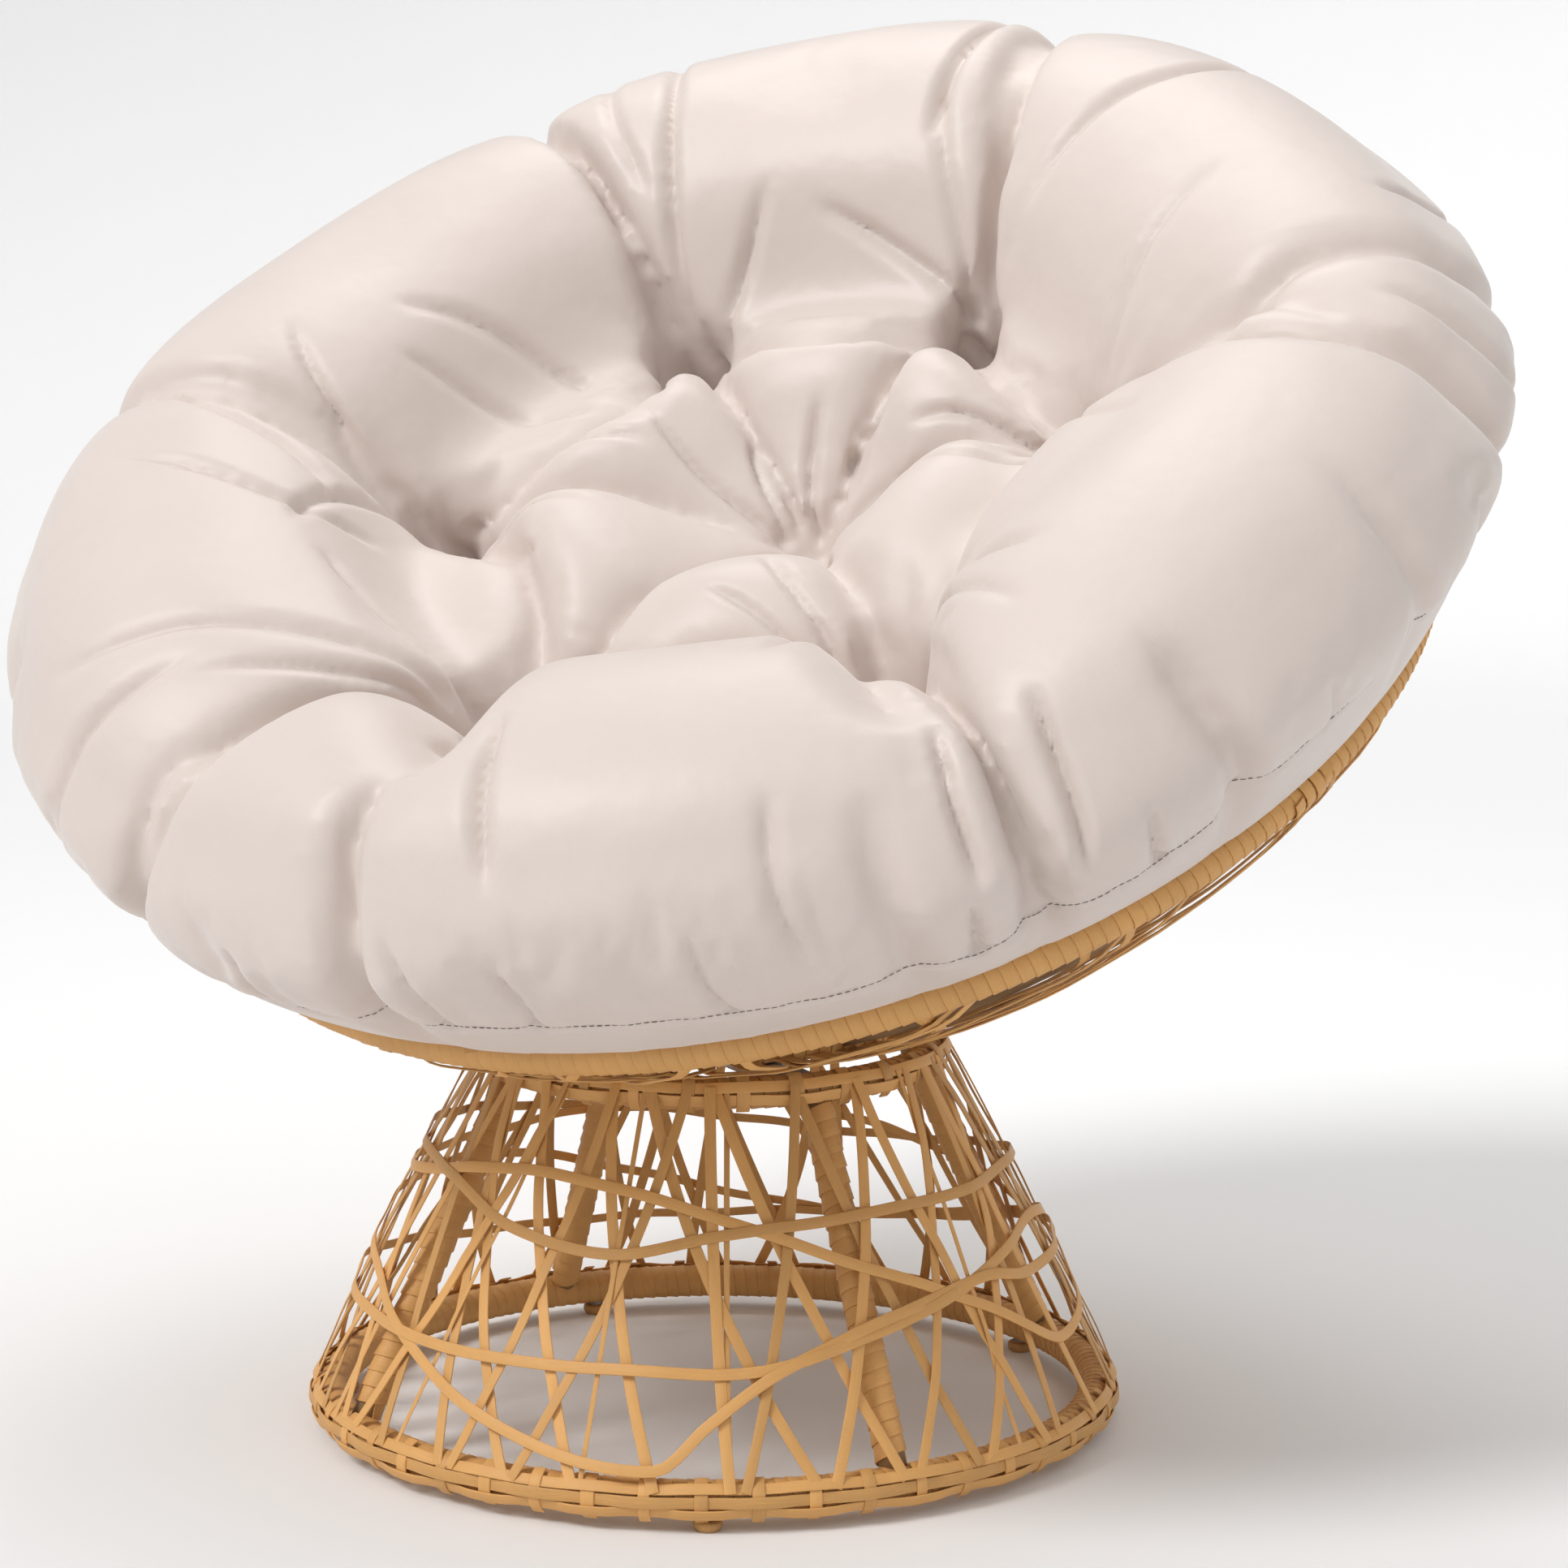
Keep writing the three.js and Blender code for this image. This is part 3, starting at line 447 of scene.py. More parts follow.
class Nodes:
    """A Geometry Nodes tree with named inputs."""

    def __init__(self, name, inputs):
        self.tree = bpy.data.node_groups.new(name, "GeometryNodeTree")
        face = self.tree.interface
        face.new_socket("Geometry", in_out="INPUT", socket_type="NodeSocketGeometry")
        face.new_socket("Geometry", in_out="OUTPUT", socket_type="NodeSocketGeometry")
        self.identifiers = {}
        for key, kind in inputs:
            socket = face.new_socket(key, in_out="INPUT", socket_type=kind)
            self.identifiers[key] = socket.identifier
        self.input = self.tree.nodes.new("NodeGroupInput")
        self.output = self.tree.nodes.new("NodeGroupOutput")

    def add(self, kind, settings=(), **inputs):
        """A node with its settings and inputs; _0 is the first input, and underscores stand for spaces."""
        node = self.tree.nodes.new(kind)
        for key, value in dict(settings).items():
            setattr(node, key, value)
        for key, value in inputs.items():
            socket = node.inputs[int(key[1:])] if key[0] == "_" else node.inputs[key.replace("_", " ")]
            if isinstance(value, bpy.types.NodeSocket):
                self.tree.links.new(value, socket)
            else:
                socket.default_value = value
        return node

    def maths(self, operation, *values):
        node = self.add("ShaderNodeMath", {"operation": operation},
                        **{f"_{i}": value for i, value in enumerate(values)})
        return node.outputs[0]

    def vector(self, operation, first, second):
        key = "_3" if operation == "SCALE" else "_1"
        node = self.add("ShaderNodeVectorMath", {"operation": operation}, _0=first, **{key: second})
        return node.outputs[0]

    def named(self, name, kind):
        return self.add("GeometryNodeInputNamedAttribute", {"data_type": kind}, Name=name).outputs[0]

    def store(self, geometry, name, kind, value, domain="POINT"):
        settings = {"data_type": kind, "domain": domain}
        node = self.add("GeometryNodeStoreNamedAttribute", settings, Geometry=geometry, Name=name)
        self.tree.links.new(value, node.inputs["Value"])
        return node.outputs[0]

    def end(self, geometry):
        """Ends the tree with smooth, real faces in the piece's material."""
        smooth = self.add("GeometryNodeSetShadeSmooth", Geometry=geometry, Shade_Smooth=True)
        real = self.add("GeometryNodeRealizeInstances", Geometry=smooth.outputs[0])
        painted = self.add("GeometryNodeSetMaterial", Geometry=real.outputs[0],
                           Material=self.input.outputs["Material"])
        self.tree.links.new(painted.outputs[0], self.output.inputs[0])


def flat_strip(tree, curve, outward, tone):
    """Sweeps a flat strip with round edges along curves, its face towards outward."""
    ports = tree.input.outputs
    laid = tree.add("GeometryNodeSetCurveNormal", {"mode": "FREE"}, Curve=curve, Normal=outward)
    length = tree.add("GeometryNodeSplineParameter").outputs["Length"]
    laid = tree.store(laid.outputs[0], "along", "FLOAT", length)
    laid = tree.store(laid, "tone", "FLOAT", tone)
    outline = tree.add("GeometryNodeCurvePrimitiveQuadrilateral", {"mode": "RECTANGLE"},
                       Width=ports["Thickness"], Height=ports["Width"])
    rounded = tree.add("GeometryNodeFilletCurve", {"mode": "POLY"}, Curve=outline.outputs[0],
                       Radius=tree.maths("MULTIPLY", ports["Thickness"], STRIP_ROUND_SHARE), Count=2,
                       Limit_Radius=True)
    place = tree.add("ShaderNodeSeparateXYZ", _0=tree.add("GeometryNodeInputPosition").outputs[0])
    profile = tree.store(rounded.outputs[0], "across", "FLOAT", place.outputs[1])
    swept = tree.add("GeometryNodeCurveToMesh", Curve=laid, Profile_Curve=profile,
                     Scale=tree.named("thin", "FLOAT"), Fill_Caps=True)
    parts = [tree.named(key, "FLOAT") for key in ("along", "across", "tone")]
    strip = tree.add("ShaderNodeCombineXYZ", _0=parts[0], _1=parts[1], _2=parts[2]).outputs[0]
    tree.end(tree.store(swept.outputs[0], "strip", "FLOAT_VECTOR", strip))


STRIP_INPUTS = [("Width", "NodeSocketFloat"), ("Thickness", "NodeSocketFloat"),
                ("Material", "NodeSocketMaterial")]
STRIP_ROUND_SHARE = 0.42


def strand_tree():
    """Strips along edge paths that hold an outward direction and a tone of their own."""
    tree = Nodes("laid_strands", STRIP_INPUTS)
    curves = tree.add("GeometryNodeMeshToCurve", Mesh=tree.input.outputs["Geometry"])
    flat_strip(tree, curves.outputs[0], tree.named("outward", "FLOAT_VECTOR"), tree.named("tone", "FLOAT"))
    return tree


# How fast a winding's wobble and tone change from turn to turn
WOBBLE_RATE = 0.9
TONE_RATE = 0.17


def winding_tree():
    """One strip wound round a path: turns, radius and a small overlap of each turn on the last."""
    tree = Nodes("wound_strip", STRIP_INPUTS + [
        ("Turns", "NodeSocketFloat"), ("Radius", "NodeSocketFloat"), ("Points", "NodeSocketInt"),
        ("Overlap", "NodeSocketFloat"), ("Unevenness", "NodeSocketFloat"), ("Seed", "NodeSocketFloat")])
    ports = tree.input.outputs
    path = tree.add("GeometryNodeMeshToCurve", Mesh=ports["Geometry"]).outputs[0]
    line = tree.add("GeometryNodeCurvePrimitiveLine")
    dense = tree.add("GeometryNodeResampleCurve", {"mode": "COUNT"}, Curve=line.outputs[0],
                     Count=ports["Points"])
    factor = tree.add("GeometryNodeSplineParameter").outputs["Factor"]
    sample = tree.add("GeometryNodeSampleCurve", {"mode": "FACTOR", "data_type": "FLOAT"},
                      Curves=path, Factor=factor)
    centre, tangent, normal = (sample.outputs[key] for key in ("Position", "Tangent", "Normal"))
    other = tree.vector("CROSS_PRODUCT", tangent, normal)
    turns = tree.maths("MULTIPLY", factor, ports["Turns"])
    wobble_place = tree.maths("ADD", tree.maths("MULTIPLY", turns, WOBBLE_RATE), ports["Seed"])
    wobble = tree.add("ShaderNodeTexNoise", {"noise_dimensions": "1D"}, W=wobble_place, Scale=1.0)
    uneven = tree.maths("MULTIPLY", tree.maths("SUBTRACT", wobble.outputs[0], 0.5), ports["Unevenness"])
    angle = tree.maths("MULTIPLY", turns, FULL_TURN)
    radial = tree.vector("ADD", tree.vector("SCALE", normal, tree.maths("COSINE", angle)),
                         tree.vector("SCALE", other, tree.maths("SINE", angle)))
    reach = tree.maths("ADD", ports["Radius"], tree.maths("ABSOLUTE", uneven))
    slid = tree.vector("ADD", tree.vector("SCALE", radial, reach), tree.vector("SCALE", tangent, uneven))
    place = tree.vector("ADD", centre, slid)
    wound = tree.add("GeometryNodeSetPosition", Geometry=dense.outputs[0], Position=place)
    leaning = tree.vector("ADD", radial, tree.vector("SCALE", tangent, ports["Overlap"]))
    kept = tree.store(wound.outputs[0], "outward", "FLOAT_VECTOR", leaning)
    one = tree.store(kept, "thin", "FLOAT", tree.maths("ADD", 1.0, 0.0))
    tone_place = tree.maths("MULTIPLY", turns, TONE_RATE)
    tone = tree.add("ShaderNodeTexNoise", {"noise_dimensions": "1D"}, W=tone_place, Scale=1.0, Detail=3.0)
    # The direction is stored before the sweep, because the position has moved by then
    flat_strip(tree, one, tree.named("outward", "FLOAT_VECTOR"), tone.outputs[0])
    return tree


def path_object(name, paths, outwards=None, tones=None, thins=None, closed=False):
    """An edge mesh of one or more paths, with the values that the strips read."""
    points, edges, start = [], [], 0
    for path in paths:
        points.extend(path)
        edges.extend((start + i, start + i + 1) for i in range(len(path) - 1))
        if closed:
            edges.append((start + len(path) - 1, start))
        start += len(path)
    mesh = bpy.data.meshes.new(name)
    mesh.from_pydata([tuple(p) for p in points], edges, [])
    if outwards:
        flat = [tuple(v) for group in outwards for v in group]
        mesh.attributes.new("outward", "FLOAT_VECTOR", "POINT").data.foreach_set("vector", np.ravel(flat))
        for key, values in (("tone", tones), ("thin", thins)):
            by_point = [value for path, value in zip(paths, values) for _ in path]
            mesh.attributes.new(key, "FLOAT", "POINT").data.foreach_set("value", by_point)
    return linked(name, mesh)


def grown(made, tree, **inputs):
    """Runs a tree on an object and leaves the result as its plain mesh."""
    modifier = made.modifiers.new("nodes", "NODES")
    modifier.node_group = tree.tree
    for key, value in inputs.items():
        modifier[tree.identifiers[key]] = value
    bpy.context.view_layer.update()
    evaluated = made.evaluated_get(bpy.context.evaluated_depsgraph_get())
    mesh = bpy.data.meshes.new_from_object(evaluated)
    made.modifiers.remove(modifier)
    old = made.data
    made.data = mesh
    bpy.data.meshes.remove(old)
    mesh.name = made.name
    for key in ("along", "across", "tone", "thin", "outward"):
        if key in mesh.attributes:
            mesh.attributes.remove(mesh.attributes[key])
    return made


def settle(piece, body, slot, *nodes):
    """Hands a finished piece to the frame."""
    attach(piece, body)
    if nodes:
        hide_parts(*nodes)


# The node trees and the materials by name, filled by main
TREES = {}
LOOKS = {}
# A winding's turns lap the last one a little, as a share of the pitch, and lean on it by a slope
LAP_SHARE = 1.04
LAP_SLOPE = 0.09
TURN_POINTS = 14
UNEVENNESS = 0.6 * MM
# The rim's and the legs' pitch as shares of the rings', and how far a binding lies out
RIM_PITCH_SHARE = 1.05
LEG_PITCH_SHARE = 1.2
BINDING_LIFT = 1.3 * STRIP_THICKNESS
# Where each kind of winding starts its unevenness
RING_SEED, RIM_SEED, LEG_SEED, BINDING_SEED = 3.0, 11.0, 20.0, 40.0


def sizes():
    return bpy.context.scene.chair_sizes


def strips(name, paths, outwards, tones, thins, closed=False):
    """Flat strips along paths, each facing its outward directions."""
    made = path_object(name, paths, outwards, tones, thins, closed)
    return grown(made, TREES["strand"], Width=sizes().strip_width, Thickness=sizes().strip_thickness,
                 Material=LOOKS["resin_wicker"])


def winding(name, path, tube, closed, seed, pitch_share=1.0):
    """A strip wound round a tube along its path, as close as its own width."""
    length = sum((b - a).length for a, b in zip(path, path[1:] + path[:1] if closed else path[1:]))
    pitch = sizes().wrap_pitch * pitch_share
    turns = round(length / pitch)
    made = path_object(name, [path], closed=closed)
    return grown(made, TREES["winding"], Width=pitch * LAP_SHARE, Thickness=sizes().strip_thickness,
                 Material=LOOKS["resin_wicker"], Turns=float(turns), Points=turns * TURN_POINTS,
                 Radius=tube + FIT_GAP + STRIP_THICKNESS / 2, Overlap=LAP_SLOPE,
                 Unevenness=UNEVENNESS, Seed=seed)


def ring_path(radius, height, count):
    return [polar(radius, FULL_TURN * i / count, height) for i in range(count)]


def rim_path(count):
    return [rim_point(RIM_RADIUS, FULL_TURN * i / count, 0) for i in range(count)]


def leg_path(degrees, low_share, high_share, steps):
    return [drum_wall(math.radians(degrees), share, 0) for share in spread(low_share, high_share, steps)]


# Crossings of strips on a wall

# How near two strips' points are where they cross, in radians with half the share,
# and over how many steps a strip rises to pass another
CROSSING_GAP = 0.03
CROSSING_STEPS = 2.2


def crossing_offsets(routes, amplitude):
    """How far each strip moves out and in at each (angle, share) point of its route to pass the others."""
    flat = [np.array(route) for route in routes]
    lifts = [[] for _ in routes]
    for i, first in enumerate(flat):
        for k in range(i + 1, len(flat)):
            second = flat[k]
            if first[:, 0].max() < second[:, 0].min() or second[:, 0].max() < first[:, 0].min():
                continue
            apart = np.abs(first[:, None] - second[None])
            gap = apart[..., 0] + 0.5 * apart[..., 1]
            a, b = np.unravel_index(gap.argmin(), gap.shape)
            if gap[a, b] < CROSSING_GAP:
                sign = 1 if (i * 7 + k * 3) % 2 else -1
                lifts[i].append((a, sign))
                lifts[k].append((b, -sign))
    offsets = []
    for route, crossings in zip(flat, lifts):
        steps = np.arange(len(route))
        total = np.zeros(len(route))
        for place, sign in crossings:
            total += sign * np.exp(-((steps - place) / CROSSING_STEPS) ** 2)
        offsets.append(amplitude * np.clip(total, -1, 1))
    return offsets


def strips_on_wall(name, wall, routes, lifts, random, thins=None, closed=False):
    """Strips laid along routes of (angle, share) points on a wall, lifted off it."""
    paths, outwards = [], []
    for route, lift in zip(routes, lifts):
        path = [wall(angle, share, offset) for (angle, share), offset in zip(route, lift)]
        deeper = [wall(angle, share, offset - 10 * MM) for (angle, share), offset in zip(route, lift)]
        paths.append(path)
        outwards.append([(high - low).normalized() for high, low in zip(path, deeper)])
    tones = list(random.random(len(routes)))
    return strips(name, paths, outwards, tones, thins or [1.0] * len(routes), closed)


# Over what share of its length a strand's end dips into the winding, and how deep
TUCK_SHARE = 0.09
TUCK_DEPTH = 6 * MM


def tucked(route, lifts):
    """Offsets of a strand whose ends dip into the windings that hold them."""
    ends = [max(0, 1 - min(share, 1 - share) / TUCK_SHARE) for _, share in route]
    return [lift * (1 - end) - TUCK_DEPTH * end for lift, end in zip(lifts, ends)]


# The drum's front strands: degrees at the lower and at the upper ring, and the strand's width as a
# share of the strip's
FRONT_STRANDS = [
    (-62, -78, 1), (-59, -35, 1), (-51, -60, 1), (-48, -35, .45), (-39, -51, 1), (-37, -22, .9),
    (-28, -53, 1), (-27, -5, .9), (-18, -42, 1), (-17, -15, .45), (-7, -23, 1), (3, 0, 1), (3, 4, .5),
    (5, 20, .9), (15, -14, 1), (17, 36, 1), (27, 1, 1), (29, 53, .9), (39, 20, 1), (41, 70, 1),
    (47, 50, .5), (53, 36, 1), (56, 60, .9), (68, 61, 1), (80, 78, 1),
]
# Hoops as degrees and shares of the wall's height
HOOPS = {
    "drum_hoop_falling": [
        (-83, .64), (-42, .75), (-20, .74), (-1, .68), (18, .58), (48, .38), (66, .22), (90, .3),
        (130, .5), (180, .62), (235, .58)],
    "drum_hoop_waist": [
        (-58, .69), (-39, .61), (-16, .57), (0, .62), (13, .64), (37, .66), (55, .66), (80, .67),
        (150, .52), (200, .6), (260, .72)],
    "drum_hoop_low": [
        (-75, .29), (-43, .28), (-14, .29), (8, .29), (24, .35), (46, .43), (61, .49), (78, .52),
        (150, .24), (215, .2), (260, .3)],
    "drum_hoop_rising": [
        (-7, .05), (0, .16), (8, .26), (17, .33), (29, .39), (50, .44), (62, .41), (100, .4),
        (160, .22), (230, .5), (285, .4), (330, .12)],
}
# The stretches of the rim, in degrees, where a second strip holds the winding's ends
RIM_BINDINGS = ((72.5, 76.5), (196, 200))
STRAND_STEPS = 26
HOOP_STEPS = 240
# The ranges that hand-woven strands fall in: how far a foot strays as a share of the step between two,
# how far a strand leans and bows in degrees, and its width as a share of the strip's
FRONT_BOW = (-1, 1)
BACK_BOW = (-2, 2)
BACK_STRAY = (-0.25, 0.25)
BACK_LEAN = (8, 30)
BACK_WIDTH = (0.8, 1.0)
BOWL_STRAY = (-0.3, 0.3)
BOWL_LEAN = (10, 26)
DRUM_SEED, BOWL_SEED = 7, 19
# How far out the strands and hoops lie and swing: each hoop a little further out than the last
STRAND_LIFT = 2.2 * STRIP_THICKNESS
STRAND_SWING = 1.25 * STRIP_THICKNESS
BOWL_STRAND_LIFT = 1.8 * STRIP_THICKNESS
BOWL_STRAND_SWING = 1.2 * STRIP_THICKNESS
HOOP_LIFT = 4.3 * STRIP_THICKNESS
HOOP_STACK = 0.35 * STRIP_THICKNESS
HOOP_SWING = 1.1 * STRIP_THICKNESS
HOOP_SWING_RATE = 0.42
# The courses of the drum's lower and upper ring: how many, from one to the next and how far up the
# middle one lies, both in radians round the tube
RING_COURSES = ((3, 0.56, 0.1), (2, 0.68, 0.15))


def strand_route(foot, head, bow):
    """A strand from its foot to its head in degrees, bowed sideways between them."""
    shares = spread(0, 1, STRAND_STEPS)
    return [(math.radians(foot + (head - foot) * s + bow * arch(s)), s) for s in shares]


def drum_routes(random):
    """The front strands as listed, the back ones as they come off a weaver's hand."""
    front = [strand_route(foot, head, random.uniform(*FRONT_BOW)) for foot, head, _ in FRONT_STRANDS]
    widths = [width for _, _, width in FRONT_STRANDS]
    back = []
    count = sizes().back_strands
    start, end = FRONT_STRANDS[-1][0], 360 + FRONT_STRANDS[0][0]
    for i in range(count):
        foot = start + (end - start) * (i + 0.5 + random.uniform(*BACK_STRAY)) / count
        lean = random.uniform(*BACK_LEAN) * (1 if i % 2 else -1)
        back.append(strand_route(foot, foot + lean, random.uniform(*BACK_BOW)))
        widths.append(random.uniform(*BACK_WIDTH))
    return front + back, widths


def hoop_route(places):
    """A closed route through the places, rounded between them."""
    knots = [(math.radians(degrees), share) for degrees, share in places]
    first = knots[0]
    angles = np.array([a for a, _ in knots] + [first[0] + FULL_TURN])
    shares = np.array([s for _, s in knots] + [first[1]])
    slopes = (np.roll(shares[:-1], -1) - np.roll(shares[:-1], 1)) / np.maximum(
        1e-6, (np.roll(angles[:-1], -1) - np.roll(angles[:-1], 1)) % FULL_TURN)
    slopes = np.append(slopes, slopes[0])
    route = []
    for i in range(HOOP_STEPS):
        angle = first[0] + FULL_TURN * i / HOOP_STEPS
        k = min(int(np.searchsorted(angles, angle, side="right")) - 1, len(knots) - 1)
        span = angles[k + 1] - angles[k]
        t = (angle - angles[k]) / span
        share = ((2 * t ** 3 - 3 * t ** 2 + 1) * shares[k] + (t ** 3 - 2 * t ** 2 + t) * span * slopes[k]
                 + (3 * t ** 2 - 2 * t ** 3) * shares[k + 1] + (t ** 3 - t ** 2) * span * slopes[k + 1])
        route.append((angle, float(share)))
    return route


# Courses round a ring: how far their middle lies outside the winding and how far they swing in and out,
# how much they sway up and down in radians, and how far the stakes reach past them in radians
COURSE_LIFT = 2.1 * STRIP_THICKNESS
COURSE_SWING = 0.95 * STRIP_THICKNESS
COURSE_SWAY = 0.03
STAKE_OVERHANG = 0.35
# Points of a course from one stake to the next, and of a stake
COURSE_STEPS = 8
STAKE_STEPS = 11


def ring_place(ring, lift, turn, angle):
    """A point round a ring tube, at a turn up from straight out, and its outward direction."""
    radius, height = ring
    place = polar(radius + lift * math.cos(turn), angle, height + lift * math.sin(turn))
    return place, (place - polar(radius, angle, height)).normalized()


def course(ring, weave, turn, row, stakes):
    """One course round a ring, outside one stake and inside the next."""
    places = []
    for i in range(stakes * COURSE_STEPS):
        phase = i / COURSE_STEPS
        angle = FULL_TURN * phase / stakes
        wave = math.cos(math.pi * (phase + row % 2))
        lift = weave + math.copysign(abs(wave) ** 0.5, wave) * COURSE_SWING
        sway = COURSE_SWAY * math.sin(5 * angle + 2.1 * row)
        places.append(ring_place(ring, lift, turn + sway, angle))
    return zip(*places)


def add_courses(name, ring, tube, rows, row_step, tilt, random):
    """Courses of strip round a ring's outside, in and out of stakes that loop over the tube."""
    weave = wrap_radius(tube) + FIT_GAP + COURSE_LIFT
    stakes = 2 * round(FULL_TURN * (ring[0] + weave) / sizes().stake_pitch / 2)
    turns = [tilt + (row - (rows - 1) / 2) * row_step for row in range(rows)]
    paths, outwards = zip(*(course(ring, weave, turn, row, stakes) for row, turn in enumerate(turns)))
    tones = [random.random() for _ in turns]
    courses = strips(name + "_courses", paths, outwards, tones, [1.0] * rows, closed=True)
    reach = rows * row_step / 2 + STAKE_OVERHANG
    loops = [zip(*(ring_place(ring, weave, turn, FULL_TURN * k / stakes)
                   for turn in spread(tilt + reach, tilt - reach, STAKE_STEPS))) for k in range(stakes)]
    paths, outwards = zip(*loops)
    tones, thins = zip(*((random.random(), random.uniform(0.95, 1.25)) for _ in paths))
    return courses, strips(name + "_stakes", paths, outwards, tones, thins)


# Cushion, in the rim's own plane; shares run from the centre tuft out to the seam

# Six tufts in a ring and one near the middle, and where the channels end at the seam
TUFT_DEGREES = (-78, -13, 49, 118, 162, 219)
CHANNEL_END_DEGREES = (-80, -26, 47, 101, 172, 226)
TUFT_RADIUS = 244 * MM
CENTRE_SHIFT = 36 * MM
CENTRE_DEGREES = 145
# Outlines from the centre out to the seam, as shares of the bulge radius and of the crown
PUFF_SHARES = [
    (0, .19), (.13, .42), (.28, .65), (.46, .53), (.58, .87), (.74, 1.01), (.92, .91), (1, .57), (.92, .25)]
DEEP_CHANNEL_SHARES = [
    (0, .19), (.15, .27), (.3, .36), (.46, .38), (.58, .52), (.72, .7), (.88, .7), (.96, .5), (.915, .25)]
SHALLOW_CHANNEL_SHARES = [
    (0, .19), (.15, .25), (.3, .33), (.46, .38), (.58, .64), (.72, .86), (.88, .84), (.97, .55), (.915, .25)]
PUFF_FULLNESS = 0.3
# At each channel and puff on the way round: shares of the bulge radius and of the crown, how much of the
# shallow outline a channel has, and how far out the seam stands as a share of its place
ROUND_SHARES = [
    (1, 1.05, 1, 1.07), (1, .96, .6, 1.08), (1, .9, .2, 1.07), (1, .9, 0, 1.07), (1, .9, 0, 1.07),
    (1.02, .93, .3, 1.06), (1.01, .93, .7, 1.06), (.975, .97, 1, 1.08), (1, 1.07, 1, 1.05),
    (1, 1.04, 1, 1.05), (1, 1.07, 1, 1.05), (1, 1.01, 1, 1.07)]
# How high the seam lies over the rim's middle at the same places, in mm
SEAM_HEIGHTS = (104, 120, 68, 74, 62, 92, 90, 92, 86, 88, 88, 100)
SKIRT_SHARE = 0.8
# Radius and height of the side band's foot and of the pad's rest on the rim, and its underside's curve
BOXING_FOOT = (486 * MM, 14.4 * MM)
BOXING_SWELL = 4 * MM
SEAT_INNER = (457 * MM, 14.4 * MM)
CAP_RADIUS = 659 * MM
CAP_EDGE = 452 * MM
TOP_ROWS = 120
PUFF_COLUMNS = 72
AROUND = len(TUFT_DEGREES) * PUFF_COLUMNS
BOXING_ROWS = 8
UNDER_ROWS = 14

# Folds: places as (share of the way out, degrees), then depth and reach in mm. These are pressed before the
# cloth settles, and a negative depth fills.
DEEP_FOLDS = [
    # Between the inner and the outer puffs, from tuft to tuft
    ([(.36, 282), (.30, 264), (.27, 250), (.29, 236), (.36, 219)], 30, 42),
    ([(.36, 219), (.29, 206), (.27, 190), (.30, 174), (.36, 162)], 32, 40),
    ([(.36, 162), (.33, 150), (.32, 136), (.36, 118)], 30, 38),
    ([(.36, -78), (.31, -62), (.30, -46), (.31, -30), (.36, -13)], 30, 42),
    ([(.37, -13), (.34, 4), (.33, 18), (.34, 34), (.37, 49)], 20, 34),
    # Spokes from the centre to each tuft
    ([(.06, -78), (.20, -78), (.37, -78)], 12, 30),
    ([(.06, -13), (.20, -13), (.37, -13)], 16, 32),
    ([(.06, 49), (.20, 49), (.37, 49)], 18, 34),
    ([(.06, 150), (.20, 156), (.37, 162)], 14, 26),
    ([(.06, 219), (.20, 219), (.37, 219)], 14, 28),
    # Outer channels
    ([(.38, -78), (.50, -81), (.64, -82), (.80, -82), (.98, -80)], 20, 27),
    ([(.38, -13), (.52, -17), (.68, -21), (.84, -24), (1.0, -27)], 30, 30),
    ([(.38, -12), (.50, -6), (.60, -1), (.70, 2)], 62, 84),
    ([(.38, 49), (.52, 48), (.68, 47), (.84, 47), (1.0, 47)], 34, 30),
    ([(.38, 48), (.50, 45), (.62, 43), (.72, 42)], 40, 66),
    ([(.38, 118), (.50, 106), (.62, 101), (.80, 100), (1.0, 101)], 32, 30),
    ([(.38, 162), (.50, 165), (.62, 170), (.74, 173), (.92, 174)], 30, 27),
    ([(.38, 219), (.50, 221), (.62, 223), (.74, 226), (.92, 227)], 30, 28),
    # The right-hand puff runs straight on into the middle, so the dip between them is filled
    ([(.40, 62), (.43, 84), (.40, 106)], -34, 78),
    # Folds that split the outer puffs
    ([(.56, 106), (.62, 112), (.70, 114), (.82, 116), (1.0, 120)], 22, 34),
    ([(.70, 0), (.78, -1), (.88, -1), (1.0, -1)], 34, 26),
    ([(.78, 61), (.88, 62), (1.0, 63)], 24, 26),
    ([(.80, 37), (.90, 37), (1.0, 37)], 20, 22),
    ([(.74, 81), (.88, 81), (1.0, 82)], 12, 24),
    ([(.80, -52), (.90, -53), (1.0, -54)], 12, 26),
    ([(.84, 140), (.94, 141), (1.0, 142)], 14, 26),
    ([(.84, 196), (.94, 197), (1.0, 198)], 12, 26),
    ([(.84, 250), (.94, 251), (1.0, 252)], 14, 26),
]
